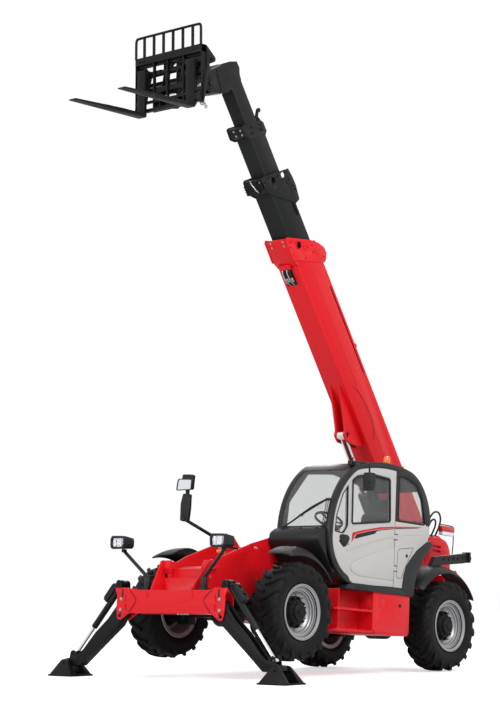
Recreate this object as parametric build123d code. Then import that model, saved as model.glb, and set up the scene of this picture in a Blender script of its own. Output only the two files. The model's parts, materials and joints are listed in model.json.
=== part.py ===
from build123d import *
import os
from math import hypot

# A four-section telehandler on its front stabilisers, with a pallet fork carriage.
# Millimetres.  Every piece is drawn on the level chassis: +X forward, +Y to the
# driver's left, +Z up, X = 0 and Z = 0 on the ground under the rear axle.  PARK then
# tips the whole machine about its rear axle, because the stabilisers hold the nose
# up, and puts the origin under the middle of its bounding box.

# ---------------------------------------------------------------- driving sizes
CHASSIS_PITCH = 3.87        # nose-up angle while the stabilisers carry the front
CLEAR = 12.0                # running clearance of pieces that swing past each other
FIT = 0.5                   # radial play of a pin in its bore

WHEELBASE = 3070.0
WHEEL_Y = 1000.0            # middle plane of each tyre
TYRE_RADIUS = 592.0         # to the tips of the lugs
TYRE_WIDTH = 400.0
LUG_HEIGHT = 34.0
LUG_COUNT = 18              # chevron lugs on each shoulder
RIM_RADIUS = 335.0          # over the rim flange
HUB_RADIUS = 150.0
KINGPIN_Y = 740.0
STEER_GAP = 0.5             # between the axle's fork and its knuckle
ARCH_RISE = 148.0           # underside of the chassis arch above the axle line
FENDER_SKIN = 14.0

RAIL_IN = 282.0             # inner face of each chassis side plate
RAIL_THICKNESS = 20.0
RAIL_OUT = RAIL_IN + RAIL_THICKNESS
BELLY_Z = 500.0             # lowest edge of the side plates
NOSE_REACH = 790.0          # side plates' front edge ahead of the front axle
TOWER_REAR = -1140.0        # rear face of the boom tower
TOWER_TOP = 1870.0
TOWER_SHOULDER = 1620.0     # where the tower's rear edge starts to round over
PIVOT_X = -671.0            # boom pivot
PIVOT_Z = 1728.0
PIN_RADIUS = 45.0

BOOM_ANGLE = 53.0           # of the raised boom, from the chassis
BOOM_AXIS_OFFSET = 36.4     # boom reference line above the pivot
FLANGE_LEG = 24.0           # folded edge of a boom section's top and bottom plates
FOLD_RADIUS = 20.0
WEAR_GAP = 0.5              # between a wear pad and the section that slides on it
# name: half width, lowest n, highest n, rear end s, front end s, plate thickness
BOOM_SECTIONS = {
    "boom_base": (172.0, -299.0, 221.0, -250.0, 4560.0, 10.0),
    "boom_ext1": (146.0, -240.0, 160.0, 580.0, 5480.0, 8.0),
    "boom_ext2": (123.0, -200.0, 110.0, 1030.0, 6240.0, 8.0),
    "boom_ext3": (103.0, -166.0, 70.0, 1480.0, 6960.0, 8.0),
}
PAD_LENGTH = 140.0          # wear pads along the boom
PAD_SETBACK = 40.0          # from the mouth of the section that holds them

LIFT_EYE_S = 2020.0         # rod eye of the lift ram, along and below the boom line
LIFT_EYE_N = -510.0
LIFT_BASE_X = -450.0        # foot of the lift ram
LIFT_BASE_Z = 1100.0
LIFT_BARREL_RADIUS = 90.0
LIFT_ROD_RADIUS = 50.0
LIFT_DEAD_LENGTH = 1500.0   # foot pin to the barrel's mouth
LIFT_EAR_Y = (62.0, 87.0)   # each ear plate under the boom

LEG_REACH = 990.0           # middle plane of the stabiliser legs, ahead of the front axle
LEG_X = WHEELBASE + LEG_REACH
LEG_WIDTH = 120.0
LEG_PLATE = 15.0
LEG_PIN = 24.0
RAM_RADIUS = 38.0
RAM_ROD_RADIUS = 22.0
RAM_DEAD_LENGTH = 700.0     # upper pin to the barrel's mouth
RAM_STROKE_LEFT = 410.0     # of the rod that can still go into the barrel
RAM_BORE_START = 60.0       # blind end of the bore from the upper pin
LEG_PIVOT_Y = 785.0
LEG_PIVOT_Z = 600.0
PAD_PIVOT_Y = 1710.0
PAD_PIVOT_Z = -105.0
PAD_SIZE = 450.0
PAD_PLATE = 20.0
RAM_TOP_Y = 865.0           # upper pin of a stabiliser ram
RAM_TOP_Z = 865.0
RAM_EYE_Y = 1615.0          # its rod eye, on the leg
RAM_EYE_Z = -10.0
BEAM_HALF = 694.0           # half width of the beam across the nose
BEAM_TOP = 785.0
BEAM_BOTTOM = 507.0
BEAM_DEPTH = 250.0
CRADLE_Y = 318.0            # inner face of the cheeks that the boom rests between

CAB_BACK = 2020.0           # rear foot of the cab behind the front axle
SILL_Z = 1000.0
CAB_INNER_Y = 312.0
CAB_OUTER_Y = 1150.0
CAB_WALL = 45.0
PILLAR = 75.0               # width of the dark band round the side of the cab
ARCH_TRIM = 100.0           # width of the trim over the rear wheel
GLASS = 6.0
GLASS_INSET = 8.0           # glass below the outer face
BELT = 855.0                # lower edge of the side glass above the sill
DOOR_REAR = 190.0           # rear edge of the door ahead of the cab's rear foot
DOOR_GAP = 6.0
HINGE_PIN = 8.0
HINGE_BARREL = 14.0

ENGINE_REAR = 850.0         # engine bay and tank, ahead of the rear axle
SIDE_Y = 1130.0             # outer face of the engine bay and of the tank
HOOD_SKIN = 20.0
HOOD_SPLIT_Z = 1090.0
HOOD_TOP_Z = 1480.0

CARRIAGE_S = 7100.0         # tilt pin of the tool carrier, in the boom frame
CARRIAGE_N = -550.0
TILT_PIN = 30.0
CARRIAGE_HALF = 557.0       # half width of the fork carriage
SHAFT_X = 564.0             # fork shaft from the tilt pin, in the tool's frame
SHAFT_Z = 79.0
SHAFT_RADIUS = 28.0
GUARD_TOP = 565.0
FORK_LENGTH = 1172.0
FORK_Y = 410.0
FORK_WIDTH = 120.0
FORK_THICKNESS = 45.0
FORK_UNDER = -478.0         # underside of the forks from the tilt pin
FORK_FACE = 690.0           # front face of the fork shanks

BOOM = Location((PIVOT_X, 0, PIVOT_Z), (0, -BOOM_ANGLE, 0)) * Location((0, 0, BOOM_AXIS_OFFSET))
NOSE = Location((WHEELBASE + NOSE_REACH, 0, 0))
CAB = Location((WHEELBASE - CAB_BACK, 0, SILL_Z))
LEVEL = Location((0, 0, TYRE_RADIUS), (0, -CHASSIS_PITCH, 0)) * Location((0, 0, -TYRE_RADIUS))
SIDES = {"left": 1, "right": -1}
CORNERS = {
    "front_left": (WHEELBASE, 1),
    "front_right": (WHEELBASE, -1),
    "rear_left": (0.0, 1),
    "rear_right": (0.0, -1),
}
# a vertical cylinder about each kingpin that the steered tyre never leaves
STEER_SWEEP = hypot(TYRE_RADIUS, WHEEL_Y + TYRE_WIDTH / 2 - KINGPIN_Y)


def boom_point(s, n):
    """Chassis position of a point along and above the boom line."""
    return (BOOM * Pos(s, 0, n)).position


def tool_frame():
    """Level frame of the tool: origin on the tilt pin, +X towards the fork tips."""
    pin = boom_point(CARRIAGE_S, CARRIAGE_N)
    return Location((pin.X, 0, pin.Z), (0, CHASSIS_PITCH, 0))


def box_middle():
    """Middle of the parked machine, between the tower's shoulder and the fork tips."""
    rear = LEVEL * Pos(TOWER_REAR, 0, TOWER_SHOULDER)
    tips = LEVEL * tool_frame() * Pos(FORK_FACE + FORK_LENGTH, 0, FORK_UNDER)
    return (rear.position.X + tips.position.X) / 2


PARK = Location((-box_middle(), 0, 0)) * LEVEL


# ---------------------------------------------------------------- drawing helpers
def side_prism(outline, y_low, y_high, rounding=0.0):
    """Outline of (x, z) points made solid between two Y planes."""
    face = Polygon(*outline, align=None)
    if rounding:
        face = fillet(face.vertices(), rounding)
    return Pos(0, y_high, 0) * extrude(Plane.XZ * face, amount=y_high - y_low, dir=(0, -1, 0))


def front_prism(outline, x_low, x_high, rounding=0.0):
    """Outline of (y, z) points made solid between two X planes."""
    face = Polygon(*outline, align=None)
    if rounding:
        face = fillet(face.vertices(), rounding)
    return Pos(x_low, 0, 0) * extrude(Plane.YZ * face, amount=x_high - x_low, dir=(1, 0, 0))


def floor_prism(outline, z_low, z_high):
    """Outline of (x, y) points made solid between two Z planes."""
    return Pos(0, 0, z_low) * extrude(Polygon(*outline, align=None), amount=z_high - z_low)


def block(x_low, x_high, y_low, y_high, z_low, z_high):
    size = Box(x_high - x_low, y_high - y_low, z_high - z_low, align=(Align.MIN,) * 3)
    return Pos(x_low, y_low, z_low) * size


def bar(start, end, radius):
    """Round bar between two points."""
    run = Vector(*end) - Vector(*start)
    seat = Plane(origin=start, z_dir=run)
    return seat * Cylinder(radius, run.length, align=(Align.CENTER, Align.CENTER, Align.MIN))


def cross_pin(x, z, y_low, y_high, radius):
    return bar((x, y_low, z), (x, y_high, z), radius)


def long_pin(y, z, x_low, x_high, radius):
    return bar((x_low, y, z), (x_high, y, z), radius)


def post(x, y, z_low, z_high, radius):
    return bar((x, y, z_low), (x, y, z_high), radius)


def mirrored(shape, side):
    """A left-hand shape, or its mirror image for side -1."""
    return shape if side == 1 else mirror(shape, about=Plane.XZ)


def both_sides(shape):
    return shape + mirror(shape, about=Plane.XZ)


def solids_of(*shapes):
    """One node made of solids that lie beside each other."""
    found = []
    for shape in shapes:
        found.extend(shape.solids())
    return Compound(found)


def pair_of(shape):
    """A left-hand solid and its mirror image, as two solids of one node."""
    return solids_of(shape, mirror(shape, about=Plane.XZ))


def arch_clearance(z_low=0.0, z_high=2 * TYRE_RADIUS + CLEAR):
    """Room for the steered wheels: one vertical cylinder about each kingpin."""
    room = [
        post(x, side * KINGPIN_Y, z_low, z_high, STEER_SWEEP + CLEAR)
        for x, side in CORNERS.values()
    ]
    return room[0] + room[1] + room[2] + room[3]


# ---------------------------------------------------------------- chassis
ARCH_Z = TYRE_RADIUS + ARCH_RISE
NOSE_X = WHEELBASE + NOSE_REACH
TOWER_FOOT_Z = 760.0
BULKHEAD = 20.0
HOOD_HINGE_X = (1150.0, 2000.0)
HOOD_HINGE_Y = -RAIL_OUT - HINGE_BARREL
HOOD_HINGE_Z = HOOD_TOP_Z + 12
HINGE_EAR = 12.0
HINGE_HALF = 40.0           # half the length of a hinge over its outer ears


def rail_outline():
    """Side plate: tower at the boom pivot, low waist beside the cab, sloping nose."""
    w = WHEELBASE
    return [
        (TOWER_REAR, TOWER_FOOT_Z), (TOWER_REAR, TOWER_SHOULDER), (TOWER_REAR + 60, 1790),
        (TOWER_REAR + 210, TOWER_TOP), (PIVOT_X + 111, TOWER_TOP), (-160, 1500), (120, 1300),
        (w - 620, 1300), (w - 380, 1530), (w - 40, 1430), (w + 500, 1230), (NOSE_X - 130, 1150),
        (NOSE_X, 1150), (NOSE_X, 520), (w + 490, 520), (w + 270, ARCH_Z), (w - 270, ARCH_Z),
        (w - 430, BELLY_Z), (430, BELLY_Z), (270, ARCH_Z), (-300, ARCH_Z), (-420, 640), (-900, 640),
    ]


def chassis_rails():
    """The two side plates, with the hood's hinge ears on the right-hand one."""
    plate = side_prism(rail_outline(), RAIL_IN, RAIL_OUT)
    for x, z, radius in ((-950, 1500, 60), (480, 980, 60), (WHEELBASE - 510, 980, 60), (-220, 1180, 80)):
        plate -= cross_pin(x, z, RAIL_IN - 1, RAIL_OUT + 1, radius)
    for x, z, width, height in ((WHEELBASE - 170, 1365, 90, 30), (WHEELBASE + 30, 1255, 15, 50)):
        plate -= block(x, x + width, RAIL_IN - 1, RAIL_OUT + 1, z, z + height)
    plate -= cross_pin(PIVOT_X, PIVOT_Z, RAIL_IN - 1, RAIL_OUT + 1, PIN_RADIUS + FIT)
    right = mirror(plate, about=Plane.XZ)
    for x in HOOD_HINGE_X:
        for ear_x in (x - HINGE_HALF, x + HINGE_HALF - HINGE_EAR):
            right += block(ear_x, ear_x + HINGE_EAR, -RAIL_OUT, -RAIL_IN, 1299, HOOD_HINGE_Z + 14)
            right += block(ear_x, ear_x + HINGE_EAR, HOOD_HINGE_Y - 14, -RAIL_OUT,
                           HOOD_HINGE_Z - 11, HOOD_HINGE_Z + 14)
        right += long_pin(HOOD_HINGE_Y, HOOD_HINGE_Z, x - HINGE_HALF, x + HINGE_HALF, HINGE_PIN)
    return solids_of(plate, right)


def chassis_frame():
    """Cross members between the side plates, the lift ram's foot and the boom's pivot pin."""
    y = RAIL_IN
    belly = block(430, WHEELBASE - 430, -y, y, BELLY_Z, BELLY_Z + BULKHEAD)
    belly += block(WHEELBASE - 450, WHEELBASE - 430, -y, y, BELLY_Z, 900)
    nose = block(NOSE_X - 80, NOSE_X - 60, -y, y, 520, 930)
    rear_deck = block(-300, 270, -y, y, ARCH_Z + 60, ARCH_Z + 80)
    front_deck = block(WHEELBASE - 270, WHEELBASE + 270, -y, y, ARCH_Z + 60, ARCH_Z + 80)
    rear_wall = block(TOWER_REAR + 80, TOWER_REAR + 100, -y, y, 660, 1400)
    foot = block(LIFT_BASE_X - 190, LIFT_BASE_X + 130, -y, y, LIFT_BASE_Z - 120, LIFT_BASE_Z - 100)
    lug = [(-170, -100), (110, -100), (70, 80), (-70, 80)]
    lug = [(LIFT_BASE_X + dx, LIFT_BASE_Z + dz) for dx, dz in lug]
    foot += both_sides(side_prism(lug, 70, 95))
    foot += cross_pin(LIFT_BASE_X, LIFT_BASE_Z, -95, 95, PIN_RADIUS)
    pin = cross_pin(PIVOT_X, PIVOT_Z, -RAIL_OUT, RAIL_OUT, PIN_RADIUS)
    pin += both_sides(cross_pin(PIVOT_X, PIVOT_Z, RAIL_OUT, RAIL_OUT + 22, 70))
    return solids_of(belly, nose, rear_deck, front_deck, rear_wall, foot, pin)


def tower_tanks():
    """Rounded oil tanks on both sides of the tower, clear of the rear fenders."""
    low = TYRE_RADIUS + 790
    outline = [
        (-790, low), (-795, 1560), (-775, 1650), (-735, 1720), (-670, 1772), (-590, 1795),
        (-330, 1800), (-230, 1640), (-190, low),
    ]
    tank = side_prism(outline, RAIL_OUT, 600)
    tank -= cross_pin(PIVOT_X, PIVOT_Z, RAIL_OUT - 1, RAIL_OUT + 40, 90)
    tank -= block(-560, -360, 560, 601, 1660, 1690)
    tank -= block(-560, -360, 560, 601, 1600, 1630)
    return pair_of(tank)


def counterweight():
    """Cast blocks on both sides of the tower's foot."""
    outline = [(-1120, 780), (-1040, 640), (-660, 640), (-640, 900), (-720, 1300), (-1000, 1400), (-1120, 1250)]
    return pair_of(side_prism(outline, RAIL_OUT, 560, 30))


HITCH_BORE = 15.0
HITCH_X = TOWER_REAR - 10
HITCH_Z = (590.0, 615.0, 665.0, 690.0)


def tow_hitch():
    """Jaw for a trailer's eye, bolted to the rear wall."""
    x = TOWER_REAR + 80
    jaw = block(x - 22, x, -75, 75, 560, 800)
    for low, high in (HITCH_Z[:2], HITCH_Z[2:]):
        jaw += block(HITCH_X - 45, x - 22, -55, 55, low, high)
    return jaw - post(HITCH_X, 0, HITCH_Z[0] - 1, HITCH_Z[3] + 1, HITCH_BORE)


# ---------------------------------------------------------------- stabiliser beam
EAR_GAP = LEG_WIDTH / 2 + 6         # leg's middle plane to each ear
FACE_X = LEG_X + EAR_GAP            # rear face of the front plate
LOOP_BORE = 20.0
LOOP_Y = 826.0
LOOP_Z = 472.0


def ear_points():
    return [
        (BEAM_HALF, 800), (762, 905), (800, 930), (905, 930), (930, 905), (930, 840), (880, 720),
        (880, 560), (866, 470), (850, 430), (800, 424), (760, 450), (700, 490), (640, BEAM_BOTTOM),
    ]


def stabiliser_frame():
    """Box beam across the nose, with the ears that hold the legs and their rams."""
    wall = 12
    beam = block(NOSE_X, FACE_X, -BEAM_HALF, BEAM_HALF, BEAM_BOTTOM, BEAM_TOP)
    beam -= block(NOSE_X + wall, FACE_X + 1, -BEAM_HALF - 1, BEAM_HALF + 1, BEAM_BOTTOM + wall, BEAM_TOP - wall)
    front = front_prism([(0, BEAM_TOP), (600, BEAM_TOP)] + ear_points() + [(0, BEAM_BOTTOM)], FACE_X, FACE_X + 15)
    for z in (535, 640):
        front -= block(FACE_X - 1, FACE_X + 16, 722, 734, z, z + 80)
    rear_x = LEG_X - EAR_GAP - 15
    rear = front_prism([(560, BEAM_BOTTOM), (560, BEAM_TOP)] + ear_points(), rear_x, rear_x + 15)
    for ear in (front, rear):
        ear -= long_pin(LOOP_Y, LOOP_Z, rear_x - 1, FACE_X + 16, LOOP_BORE)
        beam += both_sides(ear)
    for y, z in ((LEG_PIVOT_Y, LEG_PIVOT_Z), (RAM_TOP_Y, RAM_TOP_Z)):
        beam += both_sides(long_pin(y, z, rear_x + 5, FACE_X + 5, LEG_PIN))
    return beam


def boom_cradle():
    """Flared cheeks and stepped panel between which the lowered boom rests."""
    cheek = front_prism([(318, BEAM_TOP), (336, BEAM_TOP), (405, 1165), (387, 1165)], NOSE_X, FACE_X)
    side = [(NOSE_X, BEAM_TOP), (NOSE_X, 1165), (NOSE_X + 45, 1150), (FACE_X, 800), (FACE_X, BEAM_TOP)]
    cheek &= side_prism(side, 300, 420)
    x = NOSE_X
    panel = side_prism(
        [(x - 170, 1098), (x - 45, 1060), (x - 45, 944), (x + 40, 944), (x + 40, BEAM_TOP),
         (x + 28, BEAM_TOP), (x + 28, 932), (x - 57, 932), (x - 57, 1050), (x - 174, 1086)],
        -RAIL_IN, RAIL_IN)
    panel += block(x + 28, x + 40, -318, 318, BEAM_TOP, 944)
    return panel + both_sides(cheek)


# ---------------------------------------------------------------- boom
def section_webs(name):
    """The two side plates of a boom section."""
    half, low, high, rear, front, wall = BOOM_SECTIONS[name]
    return block(rear, front, half - wall, half, low + FLANGE_LEG, high - FLANGE_LEG)


def flange(name, top):
    """Folded top or bottom plate of a boom section."""
    half, low, high, rear, front, wall = BOOM_SECTIONS[name]
    outer = Rectangle(2 * half, FLANGE_LEG, align=(Align.CENTER, Align.MAX))
    outer = fillet(outer.vertices().group_by(Axis.Y)[-1], FOLD_RADIUS)
    outer -= Pos(0, -wall) * Rectangle(2 * (half - wall), FLANGE_LEG, align=(Align.CENTER, Align.MAX))
    plate = Pos(rear, 0, 0) * extrude(Plane.YZ * outer, amount=front - rear, dir=(1, 0, 0))
    if not top:
        return Pos(0, 0, low) * mirror(plate, about=Plane.XY)
    return Pos(0, 0, high) * plate


def slide_pads(outer, inner):
    """Wear pads inside the mouth of the outer section: bottom, top and left side."""
    o_half, o_low, o_high, _, mouth, wall = BOOM_SECTIONS[outer]
    i_half, i_low, i_high, _, _, _ = BOOM_SECTIONS[inner]
    s_high = mouth - PAD_SETBACK
    s_low = s_high - PAD_LENGTH
    bottom = block(s_low, s_high, -i_half + 20, i_half - 20, o_low + wall, i_low - WEAR_GAP)
    top = block(s_low, s_high, -i_half + 20, i_half - 20, i_high + WEAR_GAP, o_high - wall)
    side = block(s_low, s_high, i_half + WEAR_GAP, o_half - wall, i_low + 40, i_high - 40)
    return bottom, top, side


# name: outline of the collar plate at the mouth, its thickness, its round holes (s, n, radius)
COLLARS = {
    "boom_base": (
        [(4230, 221), (4255, 270), (4320, 321), (4400, 318), (4505, 241), (4610, 110), (4850, -320),
         (4820, -352), (4530, -355), (4505, -299)],
        14, [(4660, -150, 48), (4450, 60, 14), (4450, -120, 14), (4760, -300, 12), (4600, -320, 12)]),
    "boom_ext1": (
        [(5135, 136), (5150, 232), (5340, 266), (5450, 262), (5590, 238), (5700, -300), (5680, -337),
         (5560, -337), (5480, -300), (5420, -240)],
        14, [(5560, 90, 40), (5580, -130, 40), (5440, 100, 12), (5440, -100, 12)]),
    "boom_ext2": (
        [(6130, 86), (6170, 137), (6290, 137), (6335, 100), (6410, -250), (6395, -292), (6260, -298),
         (6200, -220)],
        12, [(6300, 20, 10), (6330, -180, 10), (6230, 20, 10), (6260, -180, 10)]),
}
# name: outline of the stiffening lip under the mouth
LIPS = {
    "boom_base": [(4420, -299), (4540, -350), (4815, -347), (4835, -318), (4700, -299)],
    "boom_ext1": [(5440, -240), (5490, -298), (5560, -332), (5676, -332), (5690, -300), (5640, -240)],
    "boom_ext2": [(6215, -200), (6262, -292), (6388, -287), (6402, -250), (6360, -200)],
}
NESTED = {"boom_base": "boom_ext1", "boom_ext1": "boom_ext2", "boom_ext2": "boom_ext3"}


def boom_section(name):
    """Side plates with their collar, side pads, and the lip under the mouth."""
    half = BOOM_SECTIONS[name][0]
    outline, thickness, holes = COLLARS[name]
    web = section_webs(name) + slide_pads(name, NESTED[name])[2]
    web += side_prism(outline, half, half + thickness)
    for s, n, radius in holes:
        web -= cross_pin(s, n, half - 1, half + thickness + 1, radius)
    lip = side_prism(LIPS[name], -half + 1, half - 1)
    return web, lip


def boom_flanges(name):
    bottom, top, _ = slide_pads(name, NESTED[name])
    return flange(name, False) + bottom, flange(name, True) + top


def lift_ear():
    low = BOOM_SECTIONS["boom_base"][1]
    ear = side_prism(
        [(1700, low), (1945, LIFT_EYE_N - 56), (1975, LIFT_EYE_N - 68), (2060, LIFT_EYE_N - 70),
         (2112, LIFT_EYE_N - 10), (2400, -400), (2700, low)],
        *LIFT_EAR_Y)
    return ear - cross_pin(LIFT_EYE_S, LIFT_EYE_N, LIFT_EAR_Y[0] - 1, LIFT_EAR_Y[1] + 1, 40)


def boom_base():
    web, lip = boom_section("boom_base")
    web -= cross_pin(0, -BOOM_AXIS_OFFSET, 0, 200, PIN_RADIUS + FIT)
    web -= block(2600, 3900, 160, 180, 150, 172)
    ear = lift_ear()
    return BOOM * solids_of(web, mirror(web, about=Plane.XZ), lip, ear, mirror(ear, about=Plane.XZ))


def boom_base_flanges():
    half = BOOM_SECTIONS["boom_base"][0]
    boss = cross_pin(0, -BOOM_AXIS_OFFSET, half, RAIL_IN - 6, 85)
    boss -= cross_pin(0, -BOOM_AXIS_OFFSET, half - 1, RAIL_IN, PIN_RADIUS + FIT)
    return BOOM * solids_of(*boom_flanges("boom_base"), boss, mirror(boss, about=Plane.XZ))


def boom_extension(name):
    web, lip = boom_section(name)
    return BOOM * solids_of(web, mirror(web, about=Plane.XZ), lip)


def boom_extension_flanges(name):
    return BOOM * solids_of(*boom_flanges(name))


def boom_tip():
    """Webs of the innermost section, clear of its folded top and bottom plates."""
    return BOOM * pair_of(section_webs("boom_ext3"))


def boom_tip_flanges():
    """Folded top and bottom plates of the innermost section."""
    return BOOM * solids_of(flange("boom_ext3", False), flange("boom_ext3", True))


def boom_head():
    """Gooseneck that turns down to the tilt pin."""
    half, low, high, _, front, wall = BOOM_SECTIONS["boom_ext3"]
    outline = [
        (front, high), (7060, high), (7120, 62), (7165, 38), (7190, 0), (7206, -80), (7236, -480),
        (7230, -560), (7195, -608), (7130, -628), (7050, -605), (6985, -540), (6925, -430),
        (6872, -274), (6885, low), (front, low),
    ]
    cheek = side_prism(outline, half - 26, half)
    cheek -= cross_pin(7090, -270, half - 27, half + 1, 34)
    cheek -= cross_pin(7060, -60, half - 27, half + 1, 16)
    head = both_sides(cheek)
    face = side_prism(
        [(front, high), (7060, high), (7120, 62), (7165, 38), (7190, 0), (7206, -80), (7226, -350),
         (7214, -350), (7194, -78), (7178, -6), (7155, 26), (7116, 52), (7058, high - 10), (front, high - 10)],
        -half, half)
    rear = side_prism([(6872, -274), (6925, -430), (6985, -540), (6993, -532), (6935, -425), (6884, -274)], -half, half)
    head += face + rear
    head += cross_pin(CARRIAGE_S, CARRIAGE_N, -150, 150, TILT_PIN)
    return BOOM * head


# ---------------------------------------------------------------- lift ram
def lift_line():
    eye = boom_point(LIFT_EYE_S, LIFT_EYE_N)
    foot = Vector(LIFT_BASE_X, 0, LIFT_BASE_Z)
    return foot, (eye - foot).normalized(), (eye - foot).length


def lift_barrel():
    foot, run, _ = lift_line()
    mouth = foot + run * LIFT_DEAD_LENGTH
    barrel = bar(foot + run * 150, mouth, LIFT_BARREL_RADIUS) + bar(foot, foot + run * 160, 60)
    barrel += cross_pin(LIFT_BASE_X, LIFT_BASE_Z, -60, 60, 75)
    barrel -= cross_pin(LIFT_BASE_X, LIFT_BASE_Z, -61, 61, PIN_RADIUS + FIT)
    return barrel - bar(foot + run * 200, mouth + run, LIFT_ROD_RADIUS + FIT)


def lift_rod():
    foot, run, length = lift_line()
    eye = foot + run * length
    rod = bar(foot + run * (LIFT_DEAD_LENGTH - 400), eye - run * 40, LIFT_ROD_RADIUS)
    return rod + cross_pin(eye.X, eye.Z, -55, 55, 62)


# ---------------------------------------------------------------- stabiliser legs
def leg(side):
    """Channel-shaped leg, open on top so that its ram folds into it."""
    py, pz, qy, qz = LEG_PIVOT_Y, LEG_PIVOT_Z, PAD_PIVOT_Y, PAD_PIVOT_Z
    outline = [
        (py - 75, pz), (py - 55, pz - 60), (py + 65, pz - 240), (py + 440, pz - 535), (qy - 230, qz - 35),
        (qy - 60, qz - 48), (qy + 20, qz - 48), (qy + 58, qz - 12), (qy + 30, qz + 42), (qy - 40, qz + 52),
        (qy - 150, qz + 70), (qy - 270, qz + 160), (py + 450, pz - 330), (py + 250, pz - 165),
        (py + 70, pz + 40), (py + 30, pz + 66), (py - 30, pz + 66), (py - 66, pz + 36),
    ]
    low, high = LEG_X - LEG_WIDTH / 2, LEG_X + LEG_WIDTH / 2
    body = front_prism(outline, low, high)
    channel = [
        (py + 85, pz - 215), (py + 450, pz - 510), (qy - 225, qz + 5), (qy - 70, qz + 5), (qy - 70, qz + 300),
        (py + 85, pz + 130),
    ]
    body -= front_prism(channel, low + LEG_PLATE, high - LEG_PLATE)
    ry, rz = RAM_EYE_Y, RAM_EYE_Z
    cheek = [(ry - 95, rz - 60), (ry - 42, rz + 40), (ry, rz + 52), (ry + 40, rz + 38), (ry + 60, rz - 60)]
    for x in (low, high - LEG_PLATE):
        body += front_prism(cheek, x, x + LEG_PLATE)
    body -= long_pin(ry, rz, low - 1, high + 1, 20)
    body -= long_pin(py, pz, low - 1, high + 1, LEG_PIN + FIT)
    body += long_pin(qy, qz, low - 22, high + 22, 20)
    return mirrored(body, side)


def ram_line(side=1):
    top = Vector(LEG_X, side * RAM_TOP_Y, RAM_TOP_Z)
    eye = Vector(LEG_X, side * RAM_EYE_Y, RAM_EYE_Z)
    return top, (eye - top).normalized(), (eye - top).length


def leg_barrel(side):
    """Barrel of a stabiliser ram with the guard over its valve block."""
    top, run, _ = ram_line(side)
    mouth = top + run * RAM_DEAD_LENGTH
    barrel = bar(top + run * 30, mouth, RAM_RADIUS)
    seat = Plane(origin=top, x_dir=run, z_dir=(side, 0, 0))
    guard = Polygon((60, 34), (75, 96), (110, 108), (300, 108), (330, 90), (330, 34), align=None)
    room = Polygon((80, 40), (95, 92), (310, 92), (318, 40), align=None)
    barrel += extrude(seat * guard, amount=40, both=True) - extrude(seat * room, amount=32, both=True)
    for along in (140, 255):
        barrel -= Plane(origin=top + run * along, z_dir=seat.y_dir) * Pos(0, 0, 100) * Cylinder(22, 50)
    barrel += long_pin(side * RAM_TOP_Y, RAM_TOP_Z, LEG_X - 38, LEG_X + 38, 40)
    barrel -= long_pin(side * RAM_TOP_Y, RAM_TOP_Z, LEG_X - 49, LEG_X + 49, LEG_PIN + FIT)
    return barrel - bar(top + run * RAM_BORE_START, mouth + run, RAM_ROD_RADIUS + FIT)


def leg_rod(side):
    top, run, length = ram_line(side)
    rod = bar(top + run * (RAM_STROKE_LEFT + RAM_BORE_START + 10), top + run * (length - 20), RAM_ROD_RADIUS)
    return rod + long_pin(side * RAM_EYE_Y, RAM_EYE_Z, LEG_X - 38, LEG_X + 38, 32)


def leg_pad(side):
    """Foot that lies flat on the ground, so it is set level under the tipped chassis."""
    pin = PARK * Pos(LEG_X, PAD_PIVOT_Y, PAD_PIVOT_Z)
    x, y, z = pin.position.X, pin.position.Y, pin.position.Z
    half = PAD_SIZE / 2
    lip = 12
    plate = block(x - half, x + half, y - half, y + half, 0, PAD_PLATE)
    for low in (x - half, x + half - lip):
        plate += block(low, low + lip, y - half, y + half, PAD_PLATE, PAD_PLATE + 18)
    cheek = [(y - 170, PAD_PLATE), (y + 170, PAD_PLATE), (y + 70, z + 20), (y + 42, z + 44), (y - 42, z + 44),
             (y - 70, z + 20)]
    gap = LEG_WIDTH / 2 + 10
    for x_low in (x - gap - LEG_PLATE, x + gap):
        plate += front_prism(cheek, x_low, x_low + LEG_PLATE)
    plate = PARK.inverse() * plate
    plate -= long_pin(PAD_PIVOT_Y, PAD_PIVOT_Z, LEG_X - 150, LEG_X + 150, 20 + FIT)
    return mirrored(plate, side)


# ---------------------------------------------------------------- wheels and axles
BEAD_DEPTH = 32.0           # tyre's bead inside its sidewall
SHOULDER = 30.0             # width of the rounded shoulder
LUG_REACH = 78.0            # of a lug each way along the tread


def tyre(corner):
    """Faceted carcass with one flat-topped curved lug to each facet."""
    x, side = CORNERS[corner]
    half = TYRE_WIDTH / 2
    facets = 2 * LUG_COUNT
    tread = TYRE_RADIUS - LUG_HEIGHT
    ring = RegularPolygon(tread, facets)
    carcass = extrude(ring, amount=half - SHOULDER, both=True)
    cheek = extrude(Pos(0, 0, half - SHOULDER) * ring, amount=SHOULDER - 4, taper=64)
    carcass += cheek + mirror(cheek, about=Plane.XY)
    carcass -= Cylinder(RIM_RADIUS - 45, TYRE_WIDTH)
    bead = Pos(0, 0, half - BEAD_DEPTH) * Cylinder(RIM_RADIUS + 5, 60, align=(Align.CENTER, Align.CENTER, Align.MIN))
    carcass -= bead + mirror(bead, about=Plane.XY)
    top = (TYRE_RADIUS ** 2 - LUG_REACH ** 2) ** 0.5
    foot = tread - 12
    r = LUG_REACH
    plan = Polygon((0, -r), (60, -r), (130, -40), (half, 20), (half, r), (half - 50, r), (90, 10), (0, -34), align=None)
    lugs = []
    for row in (1, -1):
        lug = extrude(Plane(origin=(foot, 0, 0), x_dir=(0, 0, row), z_dir=(1, 0, 0)) * plan, amount=top - foot)
        for i in range(LUG_COUNT):
            lugs.append(Rotation(0, 0, 360.0 / facets * (2 * i + (row + 1) / 2 + 0.5)) * lug)
    whole = Rotation(-90, 0, 0) * carcass.fuse(*lugs)
    return Pos(x, side * WHEEL_Y, TYRE_RADIUS) * mirrored(whole, side)


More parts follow.
